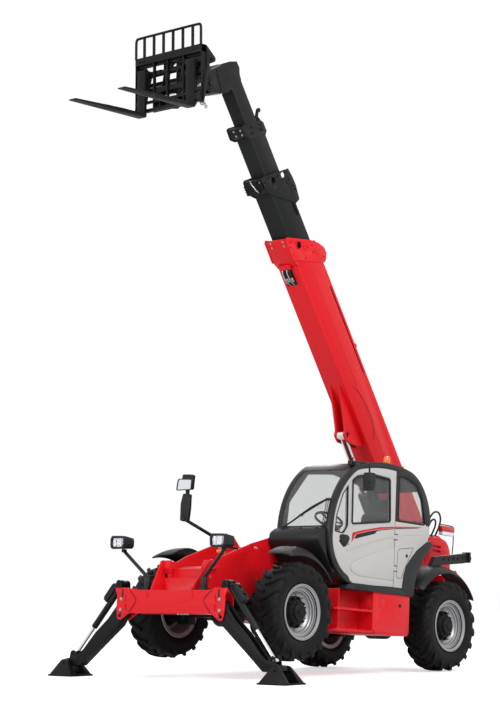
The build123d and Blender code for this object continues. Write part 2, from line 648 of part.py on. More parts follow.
def rim(corner):
    """Stepped rim, pierced disc and the planetary hub that turns with it."""
    x, side = CORNERS[corner]
    half = TYRE_WIDTH / 2
    seat = RIM_RADIUS - 45
    profile = Polygon(
        (seat - 10, -half + 30), (RIM_RADIUS, -half + 15), (RIM_RADIUS, -half + 29), (seat, -half + 31),
        (seat, half - 31), (RIM_RADIUS, half - 29), (RIM_RADIUS, half - 15), (seat + 22, half - 19),
        (seat + 18, half - 32), (seat - 6, half - 36), (seat - 10, half - 62), (seat - 28, half - 66),
        (seat - 32, 96), (seat - 50, 70), (HUB_RADIUS + 40, 52), (HUB_RADIUS + 30, 84), (HUB_RADIUS, 84),
        (HUB_RADIUS - 8, 118), (HUB_RADIUS - 48, 124), (HUB_RADIUS - 56, 152), (0, 156),
        (0, -90), (HUB_RADIUS, -90), (HUB_RADIUS, 34), (seat - 56, 52), (seat - 46, 60), (seat - 46, 20),
        (seat - 10, 0), align=None)
    shape = revolve(Plane.XY * profile, axis=Axis.Y)
    for i in range(8):
        hole = Pos(HUB_RADIUS + 64, 60, 0) * Rotation(90, 0, 0) * Cylinder(15, 60)
        shape -= Rotation(0, 45 * i, 0) * hole
    return Pos(x, side * WHEEL_Y, TYRE_RADIUS) * mirrored(shape, side)


def knuckle(corner):
    x, side = CORNERS[corner]
    carrier = Pos(0, WHEEL_Y - 165 - STEER_GAP, 0) * Rotation(90, 0, 0) * Cylinder(112, 150)
    carrier += Pos(0, KINGPIN_Y, 0) * Cylinder(60, 240)
    return Pos(x, 0, TYRE_RADIUS) * mirrored(carrier, side)


def axle(x):
    """Rigid beam with its differential and the forks that hold the knuckles."""
    beam = Rotation(90, 0, 0) * Cylinder(85, 2 * (KINGPIN_Y - 120))
    beam += Rotation(90, 0, 0) * Cylinder(190, 260)
    arm = block(-60, 60, KINGPIN_Y - 140, KINGPIN_Y - 80, -170, 170)
    arm += block(-60, 60, KINGPIN_Y - 140, KINGPIN_Y + 50, 120 + STEER_GAP, 170)
    arm += block(-60, 60, KINGPIN_Y - 140, KINGPIN_Y + 50, -170, -120 - STEER_GAP)
    beam += both_sides(arm)
    beam += both_sides(block(-90, 90, 180, RAIL_OUT, 60, ARCH_RISE))
    return Pos(x, 0, TYRE_RADIUS) * beam


def axles():
    return solids_of(axle(WHEELBASE), axle(0.0))


# fender line over each axle, from its rear lip forward, about the wheel's centre
FENDER_LINES = {
    "front": (WHEELBASE, [(-665, 368), (-560, 510), (-440, 640), (-200, 742), (0, 768), (350, 758), (690, 648)]),
    "rear": (0.0, [(-640, 395), (-570, 500), (-470, 610), (-240, 728), (-60, 765), (60, 765), (220, 738),
                   (540, 585)]),
}
FENDER_TOP = TYRE_RADIUS + 765 + FENDER_SKIN


def fenders():
    found = []
    for x, line in FENDER_LINES.values():
        outline = line + [(px, pz + FENDER_SKIN) for px, pz in reversed(line)]
        skin = side_prism(outline, 770, CAB_OUTER_Y)
        skin += side_prism([(-150, 700), (-90, 700), (-90, 764), (-150, 744)], RAIL_OUT, 800)
        skin = Pos(x, 0, TYRE_RADIUS) * skin
        found += [skin, mirror(skin, about=Plane.XZ)]
    return solids_of(*found)


# ---------------------------------------------------------------- cab, drawn from its rear foot
def cab_profile():
    """Side view of the cab, from the sill round the windscreen, roof and rear."""
    edges = [
        Line((0, 0), (1080, 0)),
        ThreePointArc((1080, 0), (1410, 210), (1525, 620)),
        ThreePointArc((1525, 620), (1370, 1150), (1010, 1490)),
        ThreePointArc((1010, 1490), (450, 1570), (-100, 1530)),
        ThreePointArc((-100, 1530), (-530, 1310), (-720, 880)),
        Line((-720, 880), (-480, 850)),
        ThreePointArc((-480, 850), (-200, 470), (0, 0)),
    ]
    return make_face(edges)


def cab_solid(inset, y_low, y_high):
    face = cab_profile() if inset == 0 else offset(cab_profile(), amount=-inset, kind=Kind.INTERSECTION)
    return Pos(0, y_high, 0) * extrude(Plane.XZ * face, amount=y_high - y_low, dir=(0, -1, 0))


HINGE_X = DOOR_REAR - DOOR_GAP / 2
HINGE_Y = CAB_OUTER_Y + 16
DOOR_HINGE_Z = (250.0, 650.0)
DOOR_WINDOW = [(400, BELT - 30), (430, 1385), (700, 1405), (1000, 1350), (1105, 1285), (1095, 725)]
QUARTER_WINDOW = [(1165, 700), (1180, 1215), (1290, 1090), (1400, 820), (1425, 610), (1250, 600)]
REAR_WINDOW = [(-590, 950), (-500, 1180), (-340, 1370), (-90, 1440), (130, 1450), (130, BELT + 5)]
RIGHT_WINDOW = [
    (-450, 960), (-470, 1150), (-330, 1340), (450, 1450), (1000, 1390), (1350, 1000), (1400, 600), (150, 600),
    (-200, 800),
]
WINDSCREEN = (1050, 1650, 680, 1420)
BACK_LIGHT = (-750, -490, 920, 1300)
SIDE_WALL = (CAB_OUTER_Y - CAB_WALL, CAB_OUTER_Y)
FAR_WALL = (CAB_INNER_Y, CAB_INNER_Y + CAB_WALL)
BETWEEN_POSTS = (CAB_INNER_Y + CAB_WALL + 20, CAB_OUTER_Y - CAB_WALL - 20)


def hole_in(outline, wall, rounding):
    return side_prism(outline, wall[0] - 1, wall[1] + 1, rounding)


def pane_in(outline, wall, rounding):
    middle = (wall[0] + wall[1]) / 2
    return side_prism(outline, middle - GLASS / 2, middle + GLASS / 2, rounding)


def door_outline(grow):
    """Door opening on the left side, ahead of the rear pillar."""
    opening = cab_solid(PILLAR - grow, SIDE_WALL[0] - 1, SIDE_WALL[1] + 1)
    return opening & block(DOOR_REAR - grow, 2000, 0, 2000, -100, 2000)


def panel_outline():
    """Pale panel behind the door, between the belt and the trim over the wheel."""
    area = cab_solid(ARCH_TRIM, *SIDE_WALL)
    return area & block(-800, DOOR_REAR - 2 * DOOR_GAP - 30, 0, 2000, -100, BELT - 10)


def hinge_arm(way, z_low, z_high):
    """Arm of a door hinge, from the pin towards the frame (-1) or the door (+1)."""
    x_low, x_high = sorted((HINGE_X, HINGE_X + way * 60))
    leaf = block(x_low, x_high, CAB_OUTER_Y, CAB_OUTER_Y + 20, z_low, z_high)
    leaf -= post(HINGE_X, HINGE_Y, z_low, z_high, HINGE_BARREL - 1)
    return leaf + post(HINGE_X, HINGE_Y, z_low, z_high, HINGE_BARREL)


def cab_frame():
    shell = cab_solid(0, CAB_INNER_Y, CAB_OUTER_Y)
    shell -= cab_solid(CAB_WALL, CAB_INNER_Y + CAB_WALL, CAB_OUTER_Y - CAB_WALL)
    shell -= door_outline(DOOR_GAP)
    shell -= panel_outline()
    shell -= hole_in(REAR_WINDOW, SIDE_WALL, 40)
    shell -= hole_in(RIGHT_WINDOW, FAR_WALL, 30)
    for x_low, x_high, z_low, z_high in (WINDSCREEN, BACK_LIGHT):
        shell -= block(x_low, x_high, *BETWEEN_POSTS, z_low, z_high)
    for z in DOOR_HINGE_Z:
        for z_ear in (z - HINGE_HALF, z + HINGE_HALF - HINGE_EAR):
            shell += hinge_arm(-1, z_ear, z_ear + HINGE_EAR)
        shell += post(HINGE_X, HINGE_Y, z - HINGE_HALF, z + HINGE_HALF, HINGE_PIN)
    return CAB * shell


def cab_panel():
    """Rear side panel with the round lock of its hatch."""
    panel = panel_outline()
    return CAB * (panel + Pos(-60, CAB_OUTER_Y, 560) * Rotation(90, 0, 0) * Cylinder(22, 12))


def cab_glass():
    panes = [pane_in(REAR_WINDOW, SIDE_WALL, 40), pane_in(RIGHT_WINDOW, FAR_WALL, 30)]
    y_low, y_high = BETWEEN_POSTS
    band = cab_solid(GLASS_INSET, y_low, y_high) - cab_solid(GLASS_INSET + GLASS, y_low - 1, y_high + 1)
    for x_low, x_high, z_low, z_high in (WINDSCREEN, BACK_LIGHT):
        panes.append(band & block(x_low, x_high, y_low, y_high, z_low, z_high))
    return CAB * solids_of(*panes)


def cab_door():
    door = door_outline(0) & block(0, 2000, *SIDE_WALL, -100, 2000)
    for outline, rounding in ((DOOR_WINDOW, 40), (QUARTER_WINDOW, 25)):
        door -= hole_in(outline, SIDE_WALL, rounding)
    recess = side_prism([(1120, 470), (1160, 560), (1290, 560), (1330, 500), (1240, 430)],
                        CAB_OUTER_Y - 20, CAB_OUTER_Y + 1)
    door -= recess
    for z in DOOR_HINGE_Z:
        door += hinge_arm(1, z - 27.5, z + 27.5)
        door -= post(HINGE_X, HINGE_Y, z - 30, z + 30, HINGE_PIN + FIT)
    return CAB * door


def door_glass():
    return CAB * solids_of(pane_in(DOOR_WINDOW, SIDE_WALL, 40), pane_in(QUARTER_WINDOW, SIDE_WALL, 25))


def cab_seat():
    cushion = side_prism([(40, 300), (500, 320), (520, 390), (480, 420), (60, 400)], 500, 980, 18)
    back = side_prism([(-60, 400), (60, 400), (30, 900), (-20, 1000), (-110, 1000), (-120, 900)], 510, 970, 25)
    seat = cushion + back + block(110, 430, 580, 900, CAB_WALL, 320)
    for y in (440, 1000):
        seat += block(20, 330, y, y + 50, 560, 600) + block(20, 60, y, y + 50, 380, 600)
    return CAB * (seat + block(20, 60, 440, 1050, 385, 420))


def cab_controls():
    """Dash with its console, and the steering wheel on a short column."""
    dash = side_prism([(950, CAB_WALL), (1060, CAB_WALL), (1300, 420), (1390, 640), (1180, 715), (1130, 660),
                       (1010, 560)], 600, 860)
    dash += side_prism([(1180, 715), (1390, 640), (1380, 600), (1165, 670)], 420, 1040)
    column = bar((1120, 730, 600), (1025, 730, 790), 24)
    plane = Plane(origin=(1025, 730, 790), z_dir=(-0.5, 0, 1))
    ring = extrude(plane * (RegularPolygon(190, 20) - RegularPolygon(166, 20)), amount=22)
    for turn in (0, 120, 240):
        ring += plane * Rotation(0, 0, turn) * Pos(88, 0, 6) * Box(176, 26, 12)
    return CAB * (dash + column + ring)


# Beacon on the roof, in the cab's own frame.
BEACON_X = -120.0
BEACON_Y = 755.0


def roof_beacon():
    """Amber beacon on its stalk, at the rear edge of the roof."""
    x, y = BEACON_X, BEACON_Y
    seat = post(x, y, 1400, 1590, 34) - cab_solid(0, 0, 2000)
    return CAB * (seat.solids().sort_by(Axis.Z)[-1] + post(x, y, 1590, 1700, 46))


def cowl():
    """Cover below the windscreen, ahead of the cab and above the front wheel."""
    w, r = WHEELBASE, TYRE_RADIUS
    outline = [
        (w - 770, 1290), (w - 770, 1668), (w - 560, 1668), (w - 350, 1642), (w - 150, 1580), (w + 10, 1500),
        (w + 10, r + 808), (w - 200, r + 786), (w - 430, r + 688),
    ]
    cover = side_prism(outline, RAIL_OUT, 1100) - CAB * cab_solid(0, 0, 2000)
    return cover.solids().sort_by(Axis.X)[-1]


# ---------------------------------------------------------------- left side below the cab
STEP_REAR = WHEELBASE - 1460
STEP_FRONT = WHEELBASE - 650
TREADS = (420.0, 675.0)


def step_box():
    """Fuel tank with its filler, and the two serrated steps ahead of it."""
    tank = side_prism(
        [(ENGINE_REAR, 450), (ENGINE_REAR + 40, 410), (STEP_REAR - 60, 410), (STEP_REAR, 470), (STEP_REAR, 930),
         (ENGINE_REAR, 930)], RAIL_OUT, SIDE_Y)
    tank -= bar((STEP_REAR - 170, SIDE_Y - 40, 800), (STEP_REAR - 170, SIDE_Y + 1, 800), 70)
    tank += bar((STEP_REAR - 170, SIDE_Y - 41, 800), (STEP_REAR - 170, SIDE_Y - 5, 800), 45)
    steps = block(STEP_REAR, STEP_REAR + 12, 880, SIDE_Y, 415, 930)
    steps += block(STEP_FRONT - 110, STEP_FRONT - 98, 880, SIDE_Y, 415, 930)
    for z in TREADS:
        steps += block(STEP_REAR, STEP_FRONT, 880, SIDE_Y, z, z + 14)
        for i in range(15):
            x = STEP_REAR + 20 + 50 * i
            steps += block(x, x + 26, SIDE_Y - 12, SIDE_Y, z + 14, z + 28)
    steps += block(STEP_REAR, STEP_FRONT, 880, 892, 415, 930)
    steps += block(STEP_REAR + 90, STEP_REAR + 130, RAIL_OUT, 885, BELLY_Z, 600)
    return (tank + steps) - arch_clearance()


# ---------------------------------------------------------------- engine side
HOOD_FRONT = WHEELBASE - 770
TRAY_SKIN = 12.0


def engine_block():
    """Engine with its gearbox and cooler as one plain casting, on a foot against the side plate."""
    return block(950, 1950, -900, -RAIL_OUT - 60, 600, 1200) + block(1200, 1300, -370, -RAIL_OUT, 640, 700)


def engine_tray():
    skin = TRAY_SKIN
    tray = block(ENGINE_REAR, HOOD_FRONT, -SIDE_Y, -RAIL_OUT, 520, HOOD_SPLIT_Z - 5)
    tray -= block(ENGINE_REAR + skin, HOOD_FRONT - skin, -SIDE_Y + skin, -RAIL_OUT + 1, 520 + skin, HOOD_SPLIT_Z)
    for i in range(8):
        x = ENGINE_REAR + 300 + 60 * i
        tray -= block(x, x + 30, -SIDE_Y - 1, -SIDE_Y + skin + 1, 700, 950)
    return tray


def engine_hood():
    x0, x1, y0, y1, z0, z1, skin = ENGINE_REAR, HOOD_FRONT, -SIDE_Y, -RAIL_OUT, HOOD_SPLIT_Z, HOOD_TOP_Z, HOOD_SKIN
    outline = [(x0, z0), (x0, z1 - 120), (x0 + 200, z1), (x1 - 250, z1), (x1, z1 - 160), (x1, z0)]
    inner = [(x0 + skin, z0 - 1), (x0 + skin, z1 - 130), (x0 + 208, z1 - skin), (x1 - 258, z1 - skin),
             (x1 - skin, z1 - 170), (x1 - skin, z0 - 1)]
    hood = side_prism(outline, y0, y1 - 8) - side_prism(inner, y0 + skin, y1 + 1)
    for i in range(6):
        x = x0 + 350 + 70 * i
        hood -= block(x, x + 36, y0 - 1, y0 + skin + 1, z0 + 110, z0 + 260)
    for x in HOOD_HINGE_X:
        hood -= block(x - 50, x + 50, HOOD_HINGE_Y - 30, y1, z1 - 21, z1 + 1)
        tube = long_pin(HOOD_HINGE_Y, HOOD_HINGE_Z, x - 27.5, x + 27.5, HINGE_BARREL)
        tube += block(x - 27.5, x + 27.5, HOOD_HINGE_Y - 31, HOOD_HINGE_Y, z1 - 10, z1)
        hood += tube - long_pin(HOOD_HINGE_Y, HOOD_HINGE_Z, x - 30, x + 30, HINGE_PIN + FIT)
    return hood


# ---------------------------------------------------------------- tool, drawn from its tilt pin
CARRIER_Y = (112.0, 137.0)
SHANK_REAR = FORK_FACE - FORK_THICKNESS


def tool_carrier():
    """Quick hitch between the boom's head and the fork carriage."""
    outline = [
        (-62, -30), (-55, 40), (60, 300), (190, 395), (270, 420), (330, 405), (350, 330), (320, 0), (345, -290),
        (300, -318), (250, -290), (150, -120), (60, -62), (-20, -66),
    ]
    side = side_prism(outline, *CARRIER_Y)
    side -= cross_pin(0, 0, CARRIER_Y[0] - 1, CARRIER_Y[1] + 1, TILT_PIN + FIT)
    side -= cross_pin(200, 60, CARRIER_Y[0] - 1, CARRIER_Y[1] + 1, 45)
    carrier = both_sides(side)
    carrier += block(290, 318, -CARRIER_Y[0] - 1, CARRIER_Y[0] + 1, -260, 60)
    carrier += cross_pin(230, 350, -165, 165, 28) + cross_pin(300, -285, -165, 165, 24)
    return tool_frame() * carrier


def fork_carriage():
    """Welded frame with the fork shaft, and the load guard on top of it."""
    y = CARRIAGE_HALF
    hanger = [
        (180, 320), (190, 385), (240, 410), (400, 395), (548, 310), (548, 60), (640, -370), (640, -400),
        (290, -330), (270, -290), (310, -250), (480, -270), (440, 150), (340, 240), (270, 310),
    ]
    plates = side_prism(hanger, CARRIER_Y[1] + 2, CARRIER_Y[1] + 20)
    plates -= cross_pin(230, 350, 130, 170, 28 + FIT)
    plates -= cross_pin(300, -285, 130, 170, 24 + FIT)
    frame = both_sides(plates)
    frame += block(548, 592, -y, y, 180, 310)
    frame += block(SHANK_REAR - 45, SHANK_REAR - 1, -y, y, -410, -370)
    end = [(548, 310), (592, 310), (592, 40), (644, -370), (644, -410), (600, -410), (598, -370), (536, 40), (536, 180)]
    frame += both_sides(side_prism(end, y - 20, y))
    frame += cross_pin(SHAFT_X, SHAFT_Z, -y, y, SHAFT_RADIUS)
    lean = [(562, 300), (578, 300), (645, GUARD_TOP), (629, GUARD_TOP)]
    for bar_y in (-545, -455, -325, -195, -65, 65, 195, 325, 455, 545):
        width = 16 if abs(bar_y) > 400 else 10
        frame += side_prism(lean, bar_y - width / 2, bar_y + width / 2)
    frame += block(622, 648, -y, y, GUARD_TOP - 22, GUARD_TOP + 6)
    return tool_frame() * frame


def forks():
    """Two shaft-hung forks with square heels and tapered tips."""
    outline = [
        (530, 60), (536, 105), (564, 122), (592, 105), (604, 40), (FORK_FACE, -330), (FORK_FACE, FORK_UNDER + 55),
        (FORK_FACE + 15, FORK_UNDER + FORK_THICKNESS), (FORK_FACE + 350, FORK_UNDER + FORK_THICKNESS),
        (FORK_FACE + FORK_LENGTH, FORK_UNDER + 12), (FORK_FACE + FORK_LENGTH, FORK_UNDER),
        (SHANK_REAR + 12, FORK_UNDER), (SHANK_REAR, FORK_UNDER + 14), (SHANK_REAR, -330), (552, 30),
    ]
    pieces = []
    for side in (1, -1):
        y = side * FORK_Y
        fork = side_prism(outline, y - FORK_WIDTH / 2, y + FORK_WIDTH / 2)
        pieces.append(fork - cross_pin(SHAFT_X, SHAFT_Z, y - FORK_WIDTH, y + FORK_WIDTH, SHAFT_RADIUS + FIT))
    return tool_frame() * solids_of(*pieces)


# ---------------------------------------------------------------- lamps and mirrors
LAMP_Y = 798.0
LAMP_Z = 1352.0


def work_lamps():
    """Lamps on bent arms that rise from boots on the cross beam."""
    x = LEG_X - 25
    lamp = block(LEG_X + 70, LEG_X + 160, LAMP_Y - 98, LAMP_Y + 98, LAMP_Z - 97, LAMP_Z + 97)
    lamp -= block(LEG_X + 148, LEG_X + 161, LAMP_Y - 84, LAMP_Y + 84, LAMP_Z - 83, LAMP_Z + 83)
    stand = post(x, 458, BEAM_TOP, 945, 45) + bar((x, 458, 930), (LEG_X + 90, 753, 1262), 18)
    return pair_of(lamp + stand)


MIRROR_Y = 1600.0
MIRROR_X = 2430.0


def mirrors():
    """Rear-view mirrors: one on the roof's corner, one on a post at the engine side."""
    x, y = MIRROR_X, MIRROR_Y
    left = block(x - 40, x, y - 110, y + 110, 2160, 2390)
    left += bar((x - 20, y, 2380), (x - 20, y, 2440), 14) + bar((x - 20, y, 2430), (x - 330, 1100, 2500), 12)
    left += block(x - 370, x - 300, 1070, 1130, 2400, 2515) - CAB * cab_solid(0, 0, 2000)
    foot_x = HOOD_FRONT + 25
    right = block(2960, 2990, -1000, -800, 1900, 2270)
    right += bar((2975, -900, 1700), (2975, -900, 1910), 16) + bar((foot_x, -720, 1480), (2975, -900, 1710), 16)
    right += bar((foot_x, -720, 1000), (foot_x, -720, 1485), 16)
    right += block(HOOD_FRONT, foot_x + 20, -745, -695, 990, 1050)
    return solids_of(left.solids().sort_by(Axis.Z)[-1], right)


def rear_lamps():
    """Lamp arms that stand on the rear fenders and reach back over the wheels."""
    arm = side_prism([(200, 1362), (110, 1490), (-650, 1600), (-640, 1480), (-560, 1455)], 930, 990)
    for i in range(5):
        arm -= cross_pin(-520 + 110 * i, 1520 - 14 * i, 929, 991, 16)
    arm += block(-30, 30, 930, 990, FENDER_TOP, 1400)
    arm += block(-672, -640, 900, 1020, 1470, 1610)
    return pair_of(arm)


# ---------------------------------------------------------------- export
def nodes():
    made = {
        "chassis_rails": chassis_rails(),
        "chassis_frame": chassis_frame(),
        "tower_tanks": tower_tanks(),
        "counterweight": counterweight(),
        "tow_hitch": tow_hitch(),
        "stabiliser_frame": stabiliser_frame(),
        "boom_cradle": boom_cradle(),
        "boom_base": boom_base(),
        "boom_base_flanges": boom_base_flanges(),
        "boom_ext1": boom_extension("boom_ext1"),
        "boom_ext1_flanges": boom_extension_flanges("boom_ext1"),
        "boom_ext2": boom_extension("boom_ext2"),
        "boom_ext2_flanges": boom_extension_flanges("boom_ext2"),
        "boom_ext3": boom_tip(),
        "boom_ext3_flanges": boom_tip_flanges(),
        "boom_head": boom_head(),
        "lift_barrel": lift_barrel(),
        "lift_rod": lift_rod(),
        "axles": axles(),
        "fenders": fenders(),
        "cab_frame": cab_frame(),
        "cab_panel": cab_panel(),
        "cab_glass": cab_glass(),
        "cab_door": cab_door(),
        "door_glass": door_glass(),
        "cab_seat": cab_seat(),
        "cab_controls": cab_controls(),
        "roof_beacon": roof_beacon(),
        "cowl": cowl(),
        "step_box": step_box(),
        "engine_block": engine_block(),
        "engine_tray": engine_tray(),
        "engine_hood": engine_hood(),
        "tool_carrier": tool_carrier(),
        "fork_carriage": fork_carriage(),
        "forks": forks(),
        "work_lamps": work_lamps(),
        "mirrors": mirrors(),
        "rear_lamps": rear_lamps(),
    }
    for name, side in SIDES.items():
        made["leg_" + name] = leg(side)
        made["leg_barrel_" + name] = leg_barrel(side)
        made["leg_rod_" + name] = leg_rod(side)
        made["pad_" + name] = leg_pad(side)
    for corner in CORNERS:
        made["tyre_" + corner] = tyre(corner)
        made["rim_" + corner] = rim(corner)
        made["knuckle_" + corner] = knuckle(corner)
    return made


def main():
    os.makedirs("parts", exist_ok=True)
    for name, shape in nodes().items():
        export_step(PARK * shape, "parts/" + name + ".step")


if __name__ == "__main__":
    main()
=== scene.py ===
import json
import math
import bmesh
import bpy
from mathutils import Matrix, Vector


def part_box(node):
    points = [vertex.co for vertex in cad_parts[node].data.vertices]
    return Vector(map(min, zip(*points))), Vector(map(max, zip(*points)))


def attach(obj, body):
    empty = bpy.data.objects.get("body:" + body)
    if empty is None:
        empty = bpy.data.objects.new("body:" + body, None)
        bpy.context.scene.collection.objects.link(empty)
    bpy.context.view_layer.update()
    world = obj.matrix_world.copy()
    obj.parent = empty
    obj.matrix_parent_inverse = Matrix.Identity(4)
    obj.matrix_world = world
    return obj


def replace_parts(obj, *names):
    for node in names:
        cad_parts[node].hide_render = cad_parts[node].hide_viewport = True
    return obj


# %% [markdown]
# A telehandler is a tractor-like machine with a telescopic boom.  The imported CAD
# solids come in as a fixed frame, and this lesson dresses them: first the views and
# frames that every step uses, then the finishes, then each group of pieces.

# %% The frame and its box
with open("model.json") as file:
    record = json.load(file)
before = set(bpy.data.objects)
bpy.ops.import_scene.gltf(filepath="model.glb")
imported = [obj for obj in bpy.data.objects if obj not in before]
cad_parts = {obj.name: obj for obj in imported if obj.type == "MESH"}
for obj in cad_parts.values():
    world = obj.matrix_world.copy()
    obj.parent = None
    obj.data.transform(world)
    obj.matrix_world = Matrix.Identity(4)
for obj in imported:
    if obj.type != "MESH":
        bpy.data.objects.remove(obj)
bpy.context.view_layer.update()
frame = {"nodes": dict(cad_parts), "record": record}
NODES = frame["nodes"]
BODIES = frame["record"]["behaviour"]["bodies"]
BODY_OF = {node: body for body, nodes in BODIES.items() for node in nodes}

# %% [markdown]
# The machine stands nose-up on its stabilisers, so its pieces are drawn on the level
# chassis, along the boom, on the tool or from the cab's rear foot, in millimetres,
# and one matrix each brings them to their place in metres.

# %% Places
PITCH = math.radians(3.87)
BOX_MIDDLE = 2.1098
WHEELBASE = 3070.0
WHEEL_Y = 1000.0
TYRE_RADIUS = 592.0
BOOM_PIVOT = (-671, 0, 1728)
BOOM_ANGLE = math.radians(53.0)
BOOM_LINE_RISE = 36.4
CAB_FOOT = (WHEELBASE - 2020, 0, 1000)
TILT_PIN = (7100.0, 0.0, -550.0)
MM = Matrix.Scale(0.001, 4)
HANDS = (("left", 1), ("right", -1))


def turn_y(angle):
    return Matrix.Rotation(angle, 4, "Y")


def shift(x, y, z):
    return Matrix.Translation((x, y, z))


hub_rise = TYRE_RADIUS / 1000
LEVEL = shift(-BOX_MIDDLE, 0, hub_rise) @ turn_y(-PITCH) @ shift(0, 0, -hub_rise) @ MM
BOOM = LEVEL @ shift(*BOOM_PIVOT) @ turn_y(-BOOM_ANGLE) @ shift(0, 0, BOOM_LINE_RISE)
CAB = LEVEL @ shift(*CAB_FOOT)
tilt_pin = LEVEL.inverted() @ BOOM @ Vector(TILT_PIN)
TOOL = LEVEL @ shift(*tilt_pin) @ turn_y(PITCH)
print("tilt pin on the level chassis:", [round(v) for v in tilt_pin])

# %% [markdown]
# The camera stands low ahead of the left front wheel and looks slightly up, with a
# long lens, so that the boom towers over the cab.

# %% Camera
CAMERA_YAW = 3.8525
CAMERA_RISE = 0.1214


def new_object(name, data):
    made = bpy.data.objects.new(name, data)
    bpy.context.collection.objects.link(made)
    return made


camera = new_object("camera", bpy.data.cameras.new("camera"))
camera.location = (21.0361 - BOX_MIDDLE, 15.8289, 1.0813)
camera.rotation_euler = (math.pi / 2 + CAMERA_RISE, 0, CAMERA_YAW - math.pi / 2)
camera.data.lens = 98.01
camera.data.clip_end = 200
bpy.context.scene.camera = camera
bpy.context.scene.view_settings.view_transform = "Standard"

# %% [markdown]
# Studio: one big soft lamp high on the camera's left, a weaker one on its right, and
# a bright world.  The world and the floor look white to the eye, to mirrors and to
# glass, while what they light stays at a plain level.

# %% Studio


def add_node(tree, kind, inputs=(), **settings):
    """New shader node: settings are its own properties, inputs the values of its sockets."""
    made = tree.nodes.new("ShaderNode" + kind)
    for key, value in settings.items():
        setattr(made, key, value)
    return fill(made, inputs)


def fill(node, inputs):
    for socket, value in dict(inputs).items():
        node.inputs[socket].default_value = value
    return node


def wire(tree, *rows):
    """Each row links a node's output to a node's input."""
    for source, output, target, socket in rows:
        tree.links.new(source.outputs[output], target.inputs[socket])


def soft_lamp(name, place, aim, size, power):
    lamp = bpy.data.lights.new(name, "AREA")
    lamp.size = size
    lamp.energy = power
    lamp_object = new_object(name, lamp)
    lamp_object.location = place
    toward = Vector(aim) - Vector(place)
    lamp_object.rotation_euler = toward.to_track_quat("-Z", "Y").to_euler()


soft_lamp("key_lamp", (4.0, 13.0, 11.0), (0, 0, 2.5), 7.0, 1500)
soft_lamp("front_lamp", (16.0, -2.0, 6.0), (0, 0, 3.0), 7.0, 750)
soft_lamp("back_lamp", (-11.0, -7.0, 10.0), (0, 0, 3.0), 6.0, 650)

world = bpy.data.worlds.new("studio")
bpy.context.scene.world = world
world.use_nodes = True
wt = world.node_tree
wt.nodes.clear()
seen = add_node(wt, "LightPath")
either = add_node(wt, "Math", operation="MAXIMUM")
both = add_node(wt, "Math", operation="MAXIMUM")
ambient = add_node(wt, "Background", {"Color": (0.93, 0.96, 1.0, 1), "Strength": 0.55})
white = add_node(wt, "Background", {"Color": (1, 1, 1, 1), "Strength": 1.0})
mixed = add_node(wt, "MixShader")
wire(wt, (seen, "Is Camera Ray", either, 0), (seen, "Is Transmission Ray", either, 1),
     (either, 0, both, 0), (seen, "Is Glossy Ray", both, 1), (both, 0, mixed, 0),
     (ambient, 0, mixed, 1), (white, 0, mixed, 2), (mixed, 0, add_node(wt, "OutputWorld"), 0))

FLOOR_SIZE = 60
FLOOR_DROP = 0.001
floor_mesh = bpy.data.meshes.new("floor")
floor_bm = bmesh.new()
bmesh.ops.create_grid(floor_bm, x_segments=1, y_segments=1, size=FLOOR_SIZE)
floor_bm.to_mesh(floor_mesh)
floor_bm.free()
floor = new_object("floor", floor_mesh)
floor.location.z = -FLOOR_DROP
floor_finish = bpy.data.materials.new("floor_white")
floor_finish.use_nodes = True
ft = floor_finish.node_tree
floor_base = fill(ft.nodes["Principled BSDF"], {
    "Base Color": (0.86, 0.86, 0.86, 1), "Roughness": 0.75, "Specular IOR Level": 0.2})
floor_glow = add_node(ft, "Emission")
floor_sum = add_node(ft, "AddShader")
glow_level = add_node(ft, "Math", {1: 0.55}, operation="MULTIPLY")
wire(ft, (add_node(ft, "LightPath"), "Is Camera Ray", glow_level, 0),
     (glow_level, 0, floor_glow, "Strength"), (floor_base, 0, floor_sum, 0),
     (floor_glow, 0, floor_sum, 1), (floor_sum, 0, ft.nodes["Material Output"], 0))
floor_mesh.materials.append(floor_finish)

# %% [markdown]
# Paint, rubber and plastic all carry a little dust and an uneven gloss.  One shader
# group makes that from two noises on the piece itself: it darkens or dusts the
# colour, moves the roughness and gives a fine height for a bump.

# %% Surface group


def surface_group():
    group = bpy.data.node_groups.new("surface", "ShaderNodeTree")
    for socket, way, kind in (
            ("Color", "INPUT", "Color"), ("Dust", "INPUT", "Color"), ("Dust Amount", "INPUT", "Float"),
            ("Gloss", "INPUT", "Float"), ("Grain Scale", "INPUT", "Float"),
            ("Color", "OUTPUT", "Color"), ("Roughness", "OUTPUT", "Float"),
            ("Height", "OUTPUT", "Float")):
        group.interface.new_socket(socket, in_out=way, socket_type="NodeSocket" + kind)
    inside, outside = group.nodes.new("NodeGroupInput"), group.nodes.new("NodeGroupOutput")
    coords = add_node(group, "TexCoord")
    patches = add_node(group, "TexNoise", {"Scale": 2.3, "Detail": 5.0})
    grain = add_node(group, "TexNoise", {"Detail": 2.0})
    amount = add_node(group, "Math", operation="MULTIPLY")
    blend = add_node(group, "Mix", data_type="RGBA")
    spread = add_node(group, "Math", {1: 0.12}, operation="MULTIPLY_ADD")
    wire(group, (coords, "Object", patches, "Vector"), (coords, "Object", grain, "Vector"),
         (inside, "Grain Scale", grain, "Scale"), (patches, "Fac", amount, 0),
         (inside, "Dust Amount", amount, 1), (amount, 0, blend, "Factor"),
         (inside, "Color", blend, 6), (inside, "Dust", blend, 7), (patches, "Fac", spread, 0),
         (inside, "Gloss", spread, 2), (blend, 2, outside, "Color"),
         (spread, 0, outside, "Roughness"), (grain, "Fac", outside, "Height"))
    return group


SURFACE = surface_group()
print("surface group nodes:", len(SURFACE.nodes))

# %% [markdown]
# A finish is one Principled shader fed by that group.  Machine paint has a clear
# coat, moulded parts and rubber have a coarse grain and no coat.


